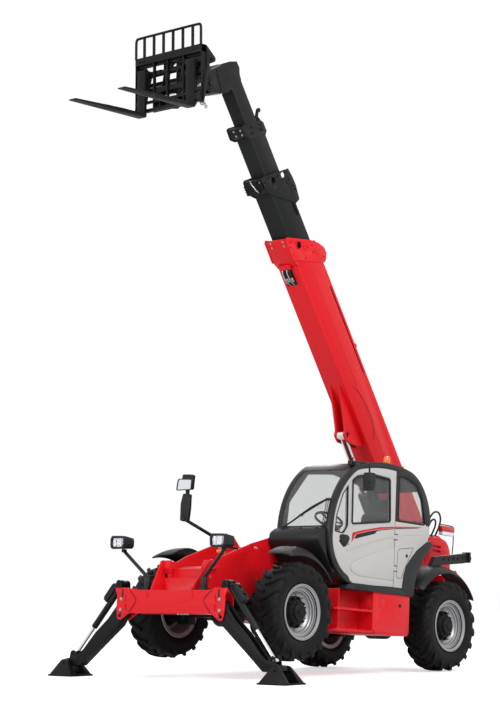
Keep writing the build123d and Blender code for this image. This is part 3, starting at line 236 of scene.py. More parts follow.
def finish(name, color, gloss, dust=(0.35, 0.33, 0.30), dirt=0.02, grain=400, bump=0.0,
           coat=0.0, metallic=0.0, shine=0.5):
    """Makes a finish: one Principled shader fed by the surface group."""
    material = bpy.data.materials.new(name)
    material.use_nodes = True
    tree = material.node_tree
    group = add_node(tree, "Group", {
        "Color": (*color, 1), "Dust": (*dust, 1), "Dust Amount": dirt, "Gloss": gloss,
        "Grain Scale": grain}, node_tree=SURFACE)
    height = add_node(tree, "Bump", {"Strength": bump, "Distance": 0.002})
    shader = fill(tree.nodes["Principled BSDF"], {
        "Coat Weight": coat, "Coat Roughness": 0.08, "Metallic": metallic, "Specular IOR Level": shine})
    wire(tree, (group, "Color", shader, "Base Color"), (group, "Roughness", shader, "Roughness"),
         (group, "Height", height, "Height"), (height, "Normal", shader, "Normal"))
    return material


def glass(name, tint, roughness=0.0, clear=1.0):
    material = finish(name, tint, roughness, dirt=0.01)
    shader = material.node_tree.nodes["Principled BSDF"]
    for socket in ("Roughness", "Normal"):
        material.node_tree.links.remove(shader.inputs[socket].links[0])
    fill(shader, {"Roughness": roughness, "Transmission Weight": clear, "IOR": 1.04})
    return material


RED = finish("red_gloss_paint", (0.72, 0.006, 0.012), 0.30, (0.45, 0.01, 0.015), 0.10,
             bump=0.03, coat=0.08, shine=0.22)
DARK_PAINT = finish("dark_grey_paint", (0.0065, 0.007, 0.0075), 0.38, dirt=0.015,
                    bump=0.05, shine=0.18)
BLACK = finish("black_paint", (0.004, 0.004, 0.0045), 0.36, dirt=0.012, bump=0.06,
               shine=0.15)
# Black cast iron for hubs, knuckles and collar bolts. It is also painted shade in the holes of the
# wheel discs.
CAST_AND_SHADE = finish("black_cast_iron_and_painted_shade", (0.005, 0.005, 0.0055), 0.45, dirt=0.015, grain=180,
              bump=0.25, shine=0.15)
SILVER = finish("wheel_silver", (0.36, 0.36, 0.365), 0.30, (0.2, 0.2, 0.2), 0.10,
                bump=0.05, metallic=0.6)
RUBBER = finish("tyre_rubber", (0.004, 0.004, 0.0045), 0.50, dirt=0.012, grain=90,
                bump=0.25, shine=0.14)
CAB_GREY = finish("pale_grey_paint", (0.50, 0.485, 0.465), 0.28, (0.40, 0.38, 0.36), 0.10,
                  bump=0.03, coat=0.1, shine=0.3)
CAB_DARK = finish("cab_frame_grey", (0.011, 0.011, 0.012), 0.36, bump=0.03, shine=0.3)
TRIM = finish("trim_grey", (0.018, 0.020, 0.021), 0.42, dirt=0.03, grain=600,
              bump=0.12, shine=0.2)
PLASTIC = finish("black_moulding", (0.006, 0.006, 0.007), 0.40, grain=700, bump=0.22,
                 shine=0.28)
CHROME = finish("hard_chrome", (0.78, 0.79, 0.81), 0.05, metallic=1.0)
STEEL = finish("zinc_steel", (0.45, 0.45, 0.46), 0.25, dirt=0.08, bump=0.06, metallic=0.9)
CLOTH = finish("seat_weave", (0.020, 0.020, 0.023), 0.80, dirt=0.05, grain=1500,
               bump=0.5, shine=0.2)
IRON = finish("engine_casting", (0.05, 0.05, 0.05), 0.55, dirt=0.1, grain=150, bump=0.3)
AMBER = finish("amber_lens", (0.85, 0.20, 0.01), 0.10, dirt=0.03, coat=0.3)
RED_LENS = finish("red_lens", (0.50, 0.01, 0.01), 0.10, dirt=0.03, coat=0.3)
STRIPE_RED = finish("stripe_red", (0.62, 0.01, 0.015), 0.30, dirt=0.03, shine=0.2)
# Dark red painted shade for the weld seams and the boom's lap line: it stands for the shade in their
# grooves.
SHADE_RED = finish("painted_shade_red", (0.16, 0.002, 0.004), 0.45, (0.1, 0.01, 0.01), 0.05,
                shine=0.15)
# Black rubber for seals, hoses, studs and stripes. It is also painted shade in the nose slots, the boom
# opening and the lap lines of the inner boom sections.
SEAL_AND_SHADE = finish("black_seal_and_painted_shade", (0.006, 0.006, 0.007), 0.45, grain=600, bump=0.1,
              shine=0.3)
GLASS = glass("tinted_pane", (0.80, 0.81, 0.81), clear=0.94)
LENS = glass("clear_lens", (0.95, 0.96, 0.98), 0.05)
BULB = finish("lamp_bulb", (0.80, 0.80, 0.81), 0.35, metallic=0.2)
MIRROR = finish("mirror_silver", (0.75, 0.77, 0.80), 0.03, metallic=1.0)

# %% [markdown]
# CAD solids have knife edges.  Real plates and castings have small rounded ones, and
# those catch the light.  So each solid is copied, its triangles are joined up again,
# its hard edges are bevelled, and the copy stands in for the node.  The copies of the
# cab are also moved point by point to the cab's own lines.

# %% Softened copies


def tied(name, data, material, body):
    """Makes the piece and ties it to its body."""
    data.materials.append(material)
    piece = new_object(name, data)
    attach(piece, body)
    return piece


def close_piece(name, bm, material, body="chassis", round_angle=32):
    """Turns a finished bmesh into a piece, smooth but for the edges beyond the angle."""
    limit = math.radians(round_angle)
    for edge in bm.edges:
        edge.smooth = len(edge.link_faces) == 2 and edge.calc_face_angle() < limit
    for face in bm.faces:
        face.smooth = True
    mesh = bpy.data.meshes.new(name)
    bm.to_mesh(mesh)
    bm.free()
    return tied(name, mesh, material, body)


def bevel_sharp(bm, width, angle=35):
    limit = math.radians(angle)
    sharp = [e for e in bm.edges if len(e.link_faces) == 2 and e.calc_face_angle() > limit]
    bmesh.ops.bevel(bm, geom=sharp, offset=width, offset_type="OFFSET", segments=2, profile=0.5,
                    affect="EDGES", clamp_overlap=True, material=-1)


def cab_line(point):
    """Moves a point of the cab: rear drawn in, rear window down, door window longer, hinges flat."""
    x, y, z = point
    if 400 < x < 480 and y > 1100 and 815 < z < 1395:
        x -= 115
    if -600 < x < 140 and y > 1100 and 855 < z < 1010:
        z -= 0.116 * (130 - x)
    if y > 1150.5:
        y = 1150 + (y - 1150) * 0.25
    if x < 130:
        x += 0.153 * (130 - x) * min(1, max(0, (z - 600) / 250))
    return Vector((x, y, z))


RESHAPED = ("cab_frame", "cab_glass", "cab_door", "door_glass")


def everything(bm):
    return bm.verts[:] + bm.edges[:] + bm.faces[:]


def joined(node):
    """The node's mesh with its triangles joined up into flat faces."""
    bm = bmesh.new()
    bm.from_mesh(NODES[node].data)
    bmesh.ops.remove_doubles(bm, verts=bm.verts[:], dist=1e-5)
    bmesh.ops.dissolve_limit(bm, angle_limit=math.radians(0.4), verts=bm.verts[:], edges=bm.edges[:])
    return bm


def softened(node, material, width):
    bm = joined(node)
    if node in RESHAPED:
        to_cab = CAB.inverted()
        for vert in bm.verts:
            vert.co = CAB @ cab_line(to_cab @ vert.co)
    if width:
        bevel_sharp(bm, width)
    piece = close_piece(node + "_dressed", bm, material, BODY_OF[node])
    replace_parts(piece, node)


SOFT = {
    RED: ["chassis_rails", "chassis_frame", "tower_tanks", "counterweight", "boom_cradle",
          "boom_base", "boom_base_flanges", "step_box", "engine_hood"],
    DARK_PAINT: ["boom_ext1", "boom_ext1_flanges", "boom_ext2", "boom_ext2_flanges", "boom_ext3",
                 "boom_ext3_flanges", "boom_head", "leg_barrel_left", "leg_barrel_right"],
    BLACK: ["tool_carrier", "fork_carriage", "forks", "engine_tray", "tow_hitch", "axles",
            "lift_barrel", "leg_left", "leg_right"],
    PLASTIC: ["cab_controls"],
    CAB_DARK: ["cab_frame"],
    CAB_GREY: ["cab_door"],
    GLASS: ["cab_glass", "door_glass"],
}
SOFT_WIDTH = {"cab_frame": 0.014, "step_box": 0.006, "engine_hood": 0.012, "counterweight": 0.012,
              "tower_tanks": 0.012, "cab_glass": 0, "door_glass": 0}
USUAL_WIDTH = 0.003
for material, nodes in SOFT.items():
    for node in nodes:
        softened(node, material, SOFT_WIDTH.get(node, USUAL_WIDTH))
print("softened:", sum(len(nodes) for nodes in SOFT.values()))

# %% [markdown]
# The rest keeps its CAD shape and only takes a finish.

# %% Plain nodes
PLAIN = {
    PLASTIC: ["mirrors", "rear_lamps"],
    CHROME: ["lift_rod", "leg_rod_left", "leg_rod_right"],
    IRON: ["engine_block"],
    AMBER: ["roof_beacon"],
    CAST_AND_SHADE: ["knuckle_" + c for c in ("front_left", "front_right", "rear_left", "rear_right")],
}
for material, nodes in PLAIN.items():
    for node in nodes:
        mesh = NODES[node].data
        mesh.materials.clear()
        mesh.materials.append(material)
print("plain:", sum(len(nodes) for nodes in PLAIN.values()))

# %% [markdown]
# Shapes are drawn in local millimetres on one open sheet, the bmesh called bm.  Then
# placed() takes all that is on it to its place as one piece and opens an empty sheet.

# %% Shape helpers
bm = bmesh.new()


def ring_of(points):
    return [bm.verts.new(p) for p in points]


def brick(low, high):
    """Box between two corners, given in any order."""
    sides = [sorted(pair) for pair in zip(low, high)]
    made = bmesh.ops.create_cube(bm, size=1)
    bmesh.ops.scale(bm, vec=[b - a for a, b in sides], verts=made["verts"])
    bmesh.ops.translate(bm, vec=[(a + b) / 2 for a, b in sides], verts=made["verts"])


def drum(start, end, radius, end_radius=None, sides=24):
    """Cylinder or cone between two points."""
    start, end = Vector(start), Vector(end)
    run = end - start
    made = bmesh.ops.create_cone(bm, cap_ends=True, segments=sides, radius1=radius,
                                 radius2=end_radius or radius, depth=run.length)
    turn = run.to_track_quat("Z", "Y").to_matrix().to_4x4()
    bmesh.ops.transform(bm, matrix=shift(*(start + end) / 2) @ turn, verts=made["verts"])


def bolt(place, toward, size=12, height=8):
    """Six-sided head on a washer."""
    place, toward = Vector(place), Vector(toward).normalized()
    drum(place, place + toward * height * 0.25, size * 0.78, sides=16)
    drum(place + toward * height * 0.25, place + toward * height, size * 0.58, sides=6)


def spun(profile, steps, closed=True, centre=(0, 0, 0), side=1):
    """Spins a profile of (radius, along) points round the Y line through the centre."""
    x, y, z = centre
    verts = ring_of([(x + r, y + side * a, z) for r, a in profile])
    pairs = list(zip(verts, verts[1:]))
    if closed:
        pairs.append((verts[-1], verts[0]))
    edges = [bm.edges.new(pair) for pair in pairs]
    bmesh.ops.spin(bm, geom=verts + edges, cent=centre, axis=(0, 1, 0), angle=math.tau, steps=steps,
                   use_merge=True)
    bmesh.ops.remove_doubles(bm, verts=bm.verts[:], dist=1e-4)


def hose(name, points, radius, material, place=LEVEL, body="chassis"):
    """Round hose on a smooth line that a few points steer."""
    curve = bpy.data.curves.new(name, "CURVE")
    curve.dimensions = "3D"
    spline = curve.splines.new("NURBS")
    spline.points.add(len(points) - 1)
    for knot, point in zip(spline.points, points):
        knot.co = (*(place @ Vector(point)), 1)
    spline.order_u = 3
    spline.use_endpoint_u = True
    spline.resolution_u = 6
    curve.bevel_depth = radius / 1000
    curve.bevel_resolution = 2
    curve.use_fill_caps = True
    tied(name, curve, material, body)


def outline_face(outline, level, axis, rounding):
    """Flat face in the plane across the axis, its corners rounded."""
    face = bm.faces.new(ring_of([
        (a, level, b) if axis == "y" else (level, a, b) for a, b in outline]))
    if not rounding:
        return face
    before = set(bm.faces) - {face}
    bmesh.ops.bevel(bm, geom=face.verts[:], offset=rounding, offset_type="OFFSET", segments=5,
                    profile=0.5, affect="VERTICES", clamp_overlap=True, material=-1)
    return next(f for f in bm.faces if f not in before)


def of_kind(geom, kind):
    return [g for g in geom if isinstance(g, kind)]


def grown(faces, rise, axis):
    out = bmesh.ops.extrude_face_region(bm, geom=faces)["geom"]
    bmesh.ops.translate(bm, vec=(0, rise, 0) if axis == "y" else (rise, 0, 0),
                        verts=of_kind(out, bmesh.types.BMVert))


def plate(outline, low, high, axis="y", rounding=0.0):
    """Outline with a thickness, between two levels given in any order."""
    low, high = sorted((low, high))
    grown([outline_face(outline, low, axis, rounding)], high - low, axis)


def band(outline, low, high, width, axis="y", rounding=0.0):
    """Closed frame of one width that runs inside an outline."""
    face = outline_face(outline, low, axis, rounding)
    ring = bmesh.ops.inset_individual(bm, faces=[face], thickness=width, use_even_offset=True)["faces"]
    bmesh.ops.delete(bm, geom=[face], context="FACES_ONLY")
    grown(ring, high - low, axis)


def cut_above(bm, point, up, dist=0.0):
    """Takes away what lies beyond a plane and closes the cut."""
    bmesh.ops.bisect_plane(bm, geom=everything(bm), dist=dist, plane_co=point, plane_no=up,
                           clear_outer=True)
    bmesh.ops.holes_fill(bm, edges=[e for e in bm.edges if e.is_boundary], sides=0)


def spots(count, radius, turn=0.0):
    """Points (x, z) at even steps round the axle; turn is a share of one step."""
    angles = [math.tau * (i + turn) / count for i in range(count)]
    return [(radius * math.cos(a), radius * math.sin(a)) for a in angles]


def smoothed(piece, thickness=0.0):
    """Finishes a coarse cage with a skin thickness and a subdivision surface."""
    if thickness:
        skin = piece.modifiers.new("skin", "SOLIDIFY")
        skin.thickness = thickness
        skin.offset = 0
    soft = piece.modifiers.new("soft", "SUBSURF")
    soft.levels = soft.render_levels = 2
    return piece


def placed(name, material, place=LEVEL, body="chassis", bevel=0.0, angle=35,
           round_angle=32):
    """Bevels the sheet's shapes, brings them to their place and opens an empty sheet."""
    global bm
    bmesh.ops.recalc_face_normals(bm, faces=bm.faces[:])
    if bevel:
        bevel_sharp(bm, bevel, angle)
    bmesh.ops.transform(bm, matrix=place, verts=bm.verts[:])
    if place.determinant() < 0:
        bmesh.ops.reverse_faces(bm, faces=bm.faces[:])
    piece = close_piece(name, bm, material, body, round_angle)
    bm = bmesh.new()
    return piece


# %% [markdown]
# A traction tyre is a round carcass with two rows of long curved lugs that start at
# the middle of the tread and wrap over the shoulder.  The carcass is a profile spun
# round the axle; one lug is a section extruded station by station, then copied by a
# spin in each row.

# %% Tyres
LUGS = 18
LUG_STATIONS = [
    # along the axle, outer radius, inner radius, degrees round, half width
    (-8, 588, 548, -7.4, 21),
    (40, 589, 548, -5.8, 22),
    (85, 588, 546, -3.4, 23),
    (130, 585, 542, 0.2, 26),
    (165, 578, 530, 4.0, 29),
    (188, 560, 512, 7.2, 31),
    (197, 530, 500, 9.0, 31),
    (198, 500, 480, 9.8, 30),
]
CARCASS_HALF = [(292, 160), (340, 166), (345, 172), (392, 192), (440, 198), (485, 194), (520, 182),
                (545, 158), (556, 110), (558, 50)]
CARCASS = CARCASS_HALF + [(558, 0)] + [(r, -y) for r, y in reversed(CARCASS_HALF)]
SECOND_ROW_TURN = 10


def draw_tyre():
    for row in (1, -1):
        section = None
        for along, outer, inner, degrees, half in LUG_STATIONS:
            angle = math.radians(degrees + (SECOND_ROW_TURN if row < 0 else 0))
            points = []
            for radius, side in ((inner, -1), (outer - 5, -1), (outer, -0.8), (outer, 0.8),
                                 (outer - 5, 1), (inner, 1)):
                lean = 1.2 if radius == inner else 1.0
                a = angle + side * (half / outer) * lean
                points.append((radius * math.cos(a), row * along, radius * math.sin(a)))
            if section is None:
                section = bm.faces.new(ring_of(points))
                continue
            out = bmesh.ops.extrude_face_region(bm, geom=[section])["geom"]
            section = of_kind(out, bmesh.types.BMFace)[0]
            for vert, point in zip(section.verts, points):
                vert.co = point
    bmesh.ops.recalc_face_normals(bm, faces=bm.faces[:])
    bmesh.ops.spin(bm, geom=everything(bm), cent=(0, 0, 0), axis=(0, 1, 0),
                   angle=math.tau * (LUGS - 1) / LUGS, steps=LUGS - 1, use_duplicate=True)
    spun(CARCASS, steps=72)


WHEELS = {
    f"{end}_{hand}": LEVEL @ shift(x, side * WHEEL_Y, TYRE_RADIUS) @ Matrix.Diagonal((1, side, 1, 1))
    for end, x in (("front", WHEELBASE), ("rear", 0.0)) for hand, side in HANDS}
for corner, place in WHEELS.items():
    draw_tyre()
    tyre = placed("tyre_tread_" + corner, RUBBER, place, "wheel_" + corner, round_angle=38)
    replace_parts(tyre, "tyre_" + corner)
print("tyre triangles:", sum(len(p.vertices) - 2 for p in tyre.data.polygons))

# %% [markdown]
# The rim is rolled from strip, so its profile is all small steps; the disc is dished
# and pierced, its holes drawn as dark discs of painted shade.  A black planetary hub with a
# lobed flange and a stepped cap sits in it, with a ring of wheel nuts.

# %% Rims and hubs
RIM_PROFILE = [
    (282, -172), (330, -186), (337, -180), (336, -172), (300, -166), (292, -150), (286, -60), (290, 60),
    (292, 140), (300, 162), (334, 170), (338, 178), (333, 186), (322, 186), (316, 176), (300, 170),
    (296, 152), (284, 148), (280, 132), (262, 128), (258, 108), (246, 100), (240, 84), (222, 66),
    (196, 52), (176, 50), (168, 40), (168, 24), (230, 36), (262, 60), (272, 30), (274, -120),
]


def draw_hub():
    spun([(0, -90), (148, -90), (150, 20), (196, 24), (196, 50), (188, 58), (160, 60), (152, 92),
          (138, 112), (112, 120), (104, 146), (96, 152), (40, 153), (34, 162), (0, 163)],
         steps=60, closed=False)
    for x, z in spots(10, 172):
        drum((x, 40, z), (x, 72, z), 24, sides=18)
        bolt((x, 72, z), (0, 1, 0), 22, 22)
    for x, z in spots(12, 124, 0.5):
        bolt((x, 115, z), (0, 1, 0), 10, 10)
    for x, z in spots(3, 62):
        bolt((x, 152, z), (0, 1, 0), 12, 9)


def draw_disc_hole_shades():
    """Dark discs of painted shade where the holes through the disc are, and the valve."""
    for x, z in spots(10, 214, 0.5):
        drum((x, 56, z), (x, 63.5, z), 11, sides=18)
    drum((268, 100, 0), (276, 150, 0), 5, sides=12)


for corner, place in WHEELS.items():
    body = "wheel_" + corner
    spun(RIM_PROFILE, steps=72)
    rim = placed("rim_steps_" + corner, SILVER, place, body, round_angle=28)
    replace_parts(rim, "rim_" + corner)
    draw_hub()
    placed("hub_planetary_" + corner, CAST_AND_SHADE, place, body)
    draw_disc_hole_shades()
    placed("disc_hole_shades_" + corner, CAST_AND_SHADE, place, body)
print("wheels dressed:", len(WHEELS))

# %% [markdown]
# Each fender is a moulded skin on a row of spokes round the wheel.  A spoke runs
# from a high inner edge to an outer lip that rolls down, and a subdivision surface
# rounds the skin off.

# %% Fenders
FENDER_SKIN = 0.022
FENDER_SECTION = [(770, 0.0), (900, 0.02), (1010, 0.10), (1085, 0.34), (1132, 0.72), (1150, 1.0)]
FENDER_SPOKES = {
    # degrees forward of upright, inner radius, radius of the outer lip
    "front": [(19, 722, 682), (12, 752, 676), (2, 782, 672), (-8, 808, 672), (-20, 812, 674),
              (-33, 800, 680), (-46, 782, 690), (-58, 762, 700)],
    "rear": [(54, 800, 700), (44, 808, 700), (32, 806, 698), (17, 800, 690), (4, 792, 686),
             (-9, 788, 684), (-22, 780, 684), (-36, 768, 684), (-49, 752, 680), (-59, 738, 676)],
}


def fender(name, axle_x, side, spokes):
    bmesh.ops.create_grid(bm, x_segments=len(FENDER_SECTION) - 1, y_segments=len(spokes) - 1, size=1)
    bm.verts.ensure_lookup_table()
    for i, (degrees, inner, lip) in enumerate(spokes):
        turn = math.radians(degrees)
        for j, (y, share) in enumerate(FENDER_SECTION):
            radius = inner + (lip - inner) * share
            bm.verts[i * len(FENDER_SECTION) + j].co = (
                axle_x + radius * math.sin(turn), side * y, TYRE_RADIUS + radius * math.cos(turn))
    return smoothed(placed(name, PLASTIC, round_angle=80), FENDER_SKIN)


skins = [fender(f"fender_{axle}_{hand}", WHEELBASE if axle == "front" else 0, side, spokes)
         for axle, spokes in FENDER_SPOKES.items() for hand, side in HANDS]
for skin in skins:
    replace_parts(skin, "fenders")
for side in (1, -1):
    brick((-156, side * 300, 1326), (-84, side * 800, 1366))
    brick((WHEELBASE - 500, side * 300, 1176), (WHEELBASE - 460, side * 780, 1230))
placed("fender_arms", BLACK, bevel=5)
print("fenders:", len(skins))

# %% [markdown]
# The cowl is one thick moulding ahead of the windscreen, with soft edges and three
# studs on its top.

# %% Cowl
plate([(2578, 1668), (2650, 1642), (2722, 1592), (2742, 1500), (2700, 1418), (2600, 1322), (2520, 1222),
       (2440, 1102), (2330, 1095), (2462, 1215), (2534, 1330), (2570, 1480)], 304, 1118)
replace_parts(placed("cowl_dressed", PLASTIC, bevel=34, angle=30), "cowl")
for y in (470, 760, 1020):
    drum((2655, y, 1635), (2659, y, 1652), 15, 12, sides=16)
placed("cowl_studs", SEAL_AND_SHADE, bevel=2)

# %% [markdown]
# The cab side is drawn from the cab's left skin outward: a pale rear panel that meets
# the dark trim over the wheel, its hatch with a round lock, a pressed leaf shape and
# ridge on the door, and the stripe.

# %% Cab side
SKIN = CAB @ shift(0, 1150, 0)
INNER = -150
plate([(182, 14), (6, 12), (-20, 179), (-72, 300), (-167, 400), (-300, 520), (-524, 652), (-560, 720),
       (-566, 848), (184, 848)], -40, 3)
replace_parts(placed("rear_panel_skin", CAB_GREY, SKIN, bevel=3), "cab_panel")
plate([(6, 4), (-20, 176), (-72, 297), (-167, 396), (-300, 515), (-526, 650), (-600, 664), (-642, 610),
       (-500, 470), (-380, 328), (-300, 190), (-262, 60), (-232, -80), (-190, -80), (20, -4)],
      INNER, 10)
placed("arch_trim", TRIM, SKIN, bevel=14, angle=50)
plate([(1078, -2), (20, -2), (-190, -78), (1176, -66), (1130, -20)], INNER, 6)
for i in range(7):
    brick((720 + 38 * i, 4, -56), (740 + 38 * i, 12, -12))
placed("sill", TRIM, SKIN, bevel=6, angle=50)

plate([(196, 516), (430, 468), (648, 401), (860, 328), (1040, 262), (1090, 222), (1096, 190),
       (1059, 149), (927, 108), (600, 100), (196, 98)], -2, 9)
plate([(1186, 399), (930, 478), (657, 559), (420, 617), (199, 664), (199, 648), (420, 601), (657, 543),
       (930, 462), (1170, 388)], -2, 8)
plate([(190, 92), (190, 15), (617, 6), (1036, 9), (1088, 36), (1132, 94)], -20, 2)
placed("door_pressing", CAB_GREY, SKIN, "door", bevel=5, angle=50)
plate([(180, 668), (-100, 712), (-400, 735), (-400, 722), (-100, 698), (180, 652)], 1, 7)
placed("panel_pressing", CAB_GREY, SKIN, bevel=4, angle=50)

band([(130, 129), (121, 462), (81, 508), (-225, 550), (-132, 401), (-36, 251), (24, 133)],
     2, 4, 6, rounding=22)
drum((-78, 0, 429), (-78, 9, 429), 24, 20)
drum((-78, 6, 429), (-78, 11, 429), 9)
placed("hatch_lines", SEAL_AND_SHADE, SKIN)

plate([(1070, 626), (878, 673), (501, 747), (196, 780), (196, 762), (466, 728), (730, 679), (997, 616),
       (1082, 496)], 0, 1.5)
placed("door_stripe_red", STRIPE_RED, SKIN, "door")
plate([(1030, 551), (985, 614), (729, 674), (432, 727), (197, 758), (197, 750), (465, 712), (564, 690),
       (612, 652)], 0, 1.6)
placed("door_stripe_black", SEAL_AND_SHADE, SKIN, "door")
plate([(182, 783), (-395, 828), (-321, 809), (182, 767)], 2, 4.5)
placed("panel_stripe_red", STRIPE_RED, SKIN)
plate([(182, 764), (-300, 805), (-318, 803), (182, 752)], 2, 4.6)
placed("panel_stripe_black", SEAL_AND_SHADE, SKIN)

# %% [markdown]
# Black seals run round every pane, and the handle sits in a dark dish.

# %% Seals and handle
DOOR_WINDOW = [(285, 825), (315, 1385), (700, 1405), (1000, 1350), (1105, 1285), (1095, 725)]
QUARTER = [(1165, 700), (1180, 1215), (1290, 1090), (1400, 820), (1425, 610), (1250, 600)]
REAR_WINDOW = [(-480, 860), (-403, 1180), (-268, 1370), (-56, 1440), (130, 1450), (130, 860)]
band(DOOR_WINDOW, -12, 9, 24, rounding=40)
band(QUARTER, -12, 6, 11, rounding=25)
plate([(1112, 545), (1150, 590), (1290, 592), (1334, 566), (1290, 480), (1200, 436)], -19, 3,
      rounding=26)
placed("door_seals", SEAL_AND_SHADE, SKIN, "door", bevel=3, angle=50)
plate([(1176, 470), (1196, 540), (1232, 540), (1222, 462)], -12, 2, rounding=8)
placed("door_handle", PLASTIC, SKIN, "door", bevel=4, angle=50)
band(REAR_WINDOW, -12, 5, 16, rounding=40)
placed("rear_window_seal", SEAL_AND_SHADE, SKIN, bevel=3, angle=50)

# %% [markdown]
# The wiper rises by the windscreen's left post on two thin arms, and its long blade
# lies down across the glass.

# %% Wiper
drum((2596, 1062, 1640), (2616, 1062, 1668), 24, 18)
for y in (1050, 1078):
    drum((2604, y, 1656), (2526, y + 4, 2004), 6, 5, sides=8)
brick((2508, 1040, 1988), (2538, 1100, 2018))
drum((2530, 1078, 2006), (2604, 716, 1812), 7, 6, sides=8)
drum((2530, 1050, 1996), (2600, 716, 1806), 5, 5, sides=8)
brick((2590, 690, 1796), (2614, 742, 1822))
placed("wiper_arms", SEAL_AND_SHADE, bevel=1.5)
hose("wiper_blade", [(2512, 1076, 2016), (2566, 900, 1928), (2596, 716, 1812), (2604, 540, 1714),
                     (2596, 400, 1650)], 9, SEAL_AND_SHADE)
hose("wiper_spine", [(2528, 1060, 2014), (2588, 880, 1924), (2612, 716, 1818), (2616, 560, 1726),
                     (2606, 430, 1668)], 5, PLASTIC)

# %% [markdown]
# Seat: each cushion is a cage with a crowned middle, rounded by a subdivision surface.


def cushion(name, low, high, crown, lean=0.0):
    """Padded block in the cab's millimetres whose upper face swells by the crown."""
    bmesh.ops.create_cube(bm, size=2)
    bmesh.ops.subdivide_edges(bm, edges=bm.edges[:], cuts=3, use_grid_fill=True)
    for vert in bm.verts:
        u, v, w = vert.co
        swell = (1 - u * u) * (1 - v * v)
        pinch = 1 - 0.10 * abs(u * v) * (1 - w * w)
        vert.co = (u * pinch, v * pinch, w + (crown * swell if w > 0 else 0))
    low, high = Vector(low), Vector(high)
    bmesh.ops.scale(bm, vec=(high - low) / 2, verts=bm.verts[:])
    bmesh.ops.transform(bm, matrix=shift(*(low + high) / 2) @ turn_y(lean), verts=bm.verts[:])
    piece = smoothed(placed(name, CLOTH, CAB, round_angle=100))
    return piece


SEAT = [
    cushion("seat_cushion", (40, 505, 320), (500, 975, 410), 0.22, lean=-0.04),
    cushion("seat_bolster_left", (60, 925, 350), (470, 985, 440), 0.15),
    cushion("seat_bolster_right", (60, 495, 350), (470, 555, 440), 0.15),
    cushion("seat_back", (-275, 515, 640), (325, 965, 730), 0.22, lean=-1.42),
    cushion("headrest", (-195, 620, 1035), (0, 860, 1105), 0.15, lean=-1.42),
    cushion("armrest_left", (20, 990, 556), (330, 1050, 604), 0.1),
    cushion("armrest_right", (20, 440, 556), (330, 500, 604), 0.1),
]
for piece in SEAT:
    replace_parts(piece, "cab_seat")
brick((110, 580, 45), (430, 900, 300))
brick((20, 440, 385), (60, 1050, 420))
for y in (440, 1010):
    brick((20, y, 385), (60, y + 40, 560))
placed("seat_base", PLASTIC, CAB, bevel=8)
print("seat pieces:", len(SEAT))

# %% [markdown]
# The pallet carriage: its guard has upright flat bars in a bent tube, a plate
# closes each end, and sleeves, a cross tube and a side-shift ram sit behind.

# %% Fork carriage
CARRIAGE_TOP = 300
carriage = bpy.data.objects["fork_carriage_dressed"]
lower = bmesh.new()
lower.from_mesh(carriage.data)
bmesh.ops.transform(lower, matrix=TOOL.inverted(), verts=lower.verts[:])
cut_above(lower, (0, 0, CARRIAGE_TOP), (0, 0, 1))
bmesh.ops.transform(lower, matrix=TOOL, verts=lower.verts[:])
lower.to_mesh(carriage.data)
lower.free()
GUARD_HALF = [(546, 290), (546, 400), (546, 545), (500, 554)]
hose("guard_tube", [(635, -y, z) for y, z in GUARD_HALF] + [(635, 0, 554)]
     + [(635, y, z) for y, z in reversed(GUARD_HALF)], 17, BLACK, TOOL, "carriage")
for y in (-404, -241, -79, 82, 246, 409):
    brick((626, y - 19, 290), (642, y + 19, 556))
brick((560, -557, 206), (640, 557, 300))
for side in (1, -1):
    plate([(638, -405), (600, -432), (560, -330), (521, -76), (473, 1), (489, 76), (394, 119),
           (372, 150), (394, 186), (539, 296), (638, 296)], side * 543, side * 557, rounding=10)
    drum((441, side * 540, 142), (441, side * 566, 142), 30, 26)
    bolt((441, side * 566, 142), (0, side, 0), 22, 12)
brick((600, -543, -300), (636, 543, -268))
brick((470, -540, -60), (520, 540, -14))
brick((524, -340, -396), (536, 340, -250))
brick((600, -340, -180), (612, 340, -110))
for y in (-250, -20, 250):
    brick((590, y - 9, -400), (634, y + 9, 206))
placed("carriage_frame", BLACK, TOOL, "carriage", bevel=3)
for y0, y1 in ((-330, -170), (-120, 120), (170, 330)):
    drum((564, y0, 79), (564, y1, 79), 40)
drum((500, -300, -160), (500, 130, -160), 38)
for y in (-480, -420, 420, 480):
    bolt((640, y, 250), (1, 0, 0), 22, 12)
for y in (-300, -180, 60, 180, 300):
    drum((560, y, -200), (560, y + 22, -230), 18, 12, sides=12)
placed("carriage_sleeves", BLACK, TOOL, "carriage", bevel=2)
drum((500, 125, -160), (500, 420, -160), 16)
drum((610, -140, -240), (610, 90, -240), 7, sides=12)
placed("side_shift_rod", CHROME, TOOL, "carriage")
for x, y, z, dx, dz in ((560, 470, -400, -58, -6), (540, 500, -432, -40, 26), (520, 440, -386, -70, 30),
                        (580, 520, -450, 26, 34), (500, 520, -440, 22, -34)):
    drum((x, y, z), (x + dx, y, z + dz), 15, 12, sides=12)
    drum((x + dx * 0.3, y, z + dz * 0.3), (x + dx * 0.7, y, z + dz * 0.7), 20, sides=6)
placed("couplings", STEEL, TOOL, "carriage", bevel=1)
for k, y in enumerate((-120, -60, 70, 150)):
    hose(f"carriage_hose_{k}", [(470, y, 120), (520, y + 20, 190), (585, y + 60, 150),
                                (590, y + 40, 20), (540, y - 10, -80), (520, y, -150)],
         11, SEAL_AND_SHADE, TOOL, "carriage")

# %% [markdown]
# Forks: an upright shank hooks over the shaft and turns into a blade that thins to
# its tip.

# %% Forks
for y in (-410, 410):
    before = set(bm.verts)
    plate([(530, 46), (536, 104), (560, 122), (690, 122), (690, -418), (704, -433), (1300, -440),
           (1860, -463), (1861, -474), (1500, -478), (690, -478), (655, -466), (644, -440), (644, 30),
           (610, 30), (602, 44)], y - 62, y + 62)
    for vert in set(bm.verts) - before:
        if vert.co.x > 1800:
            vert.co.y = y + (vert.co.y - y) * 0.45
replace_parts(placed("forks_dressed", BLACK, TOOL, "carriage", bevel=7), "forks")
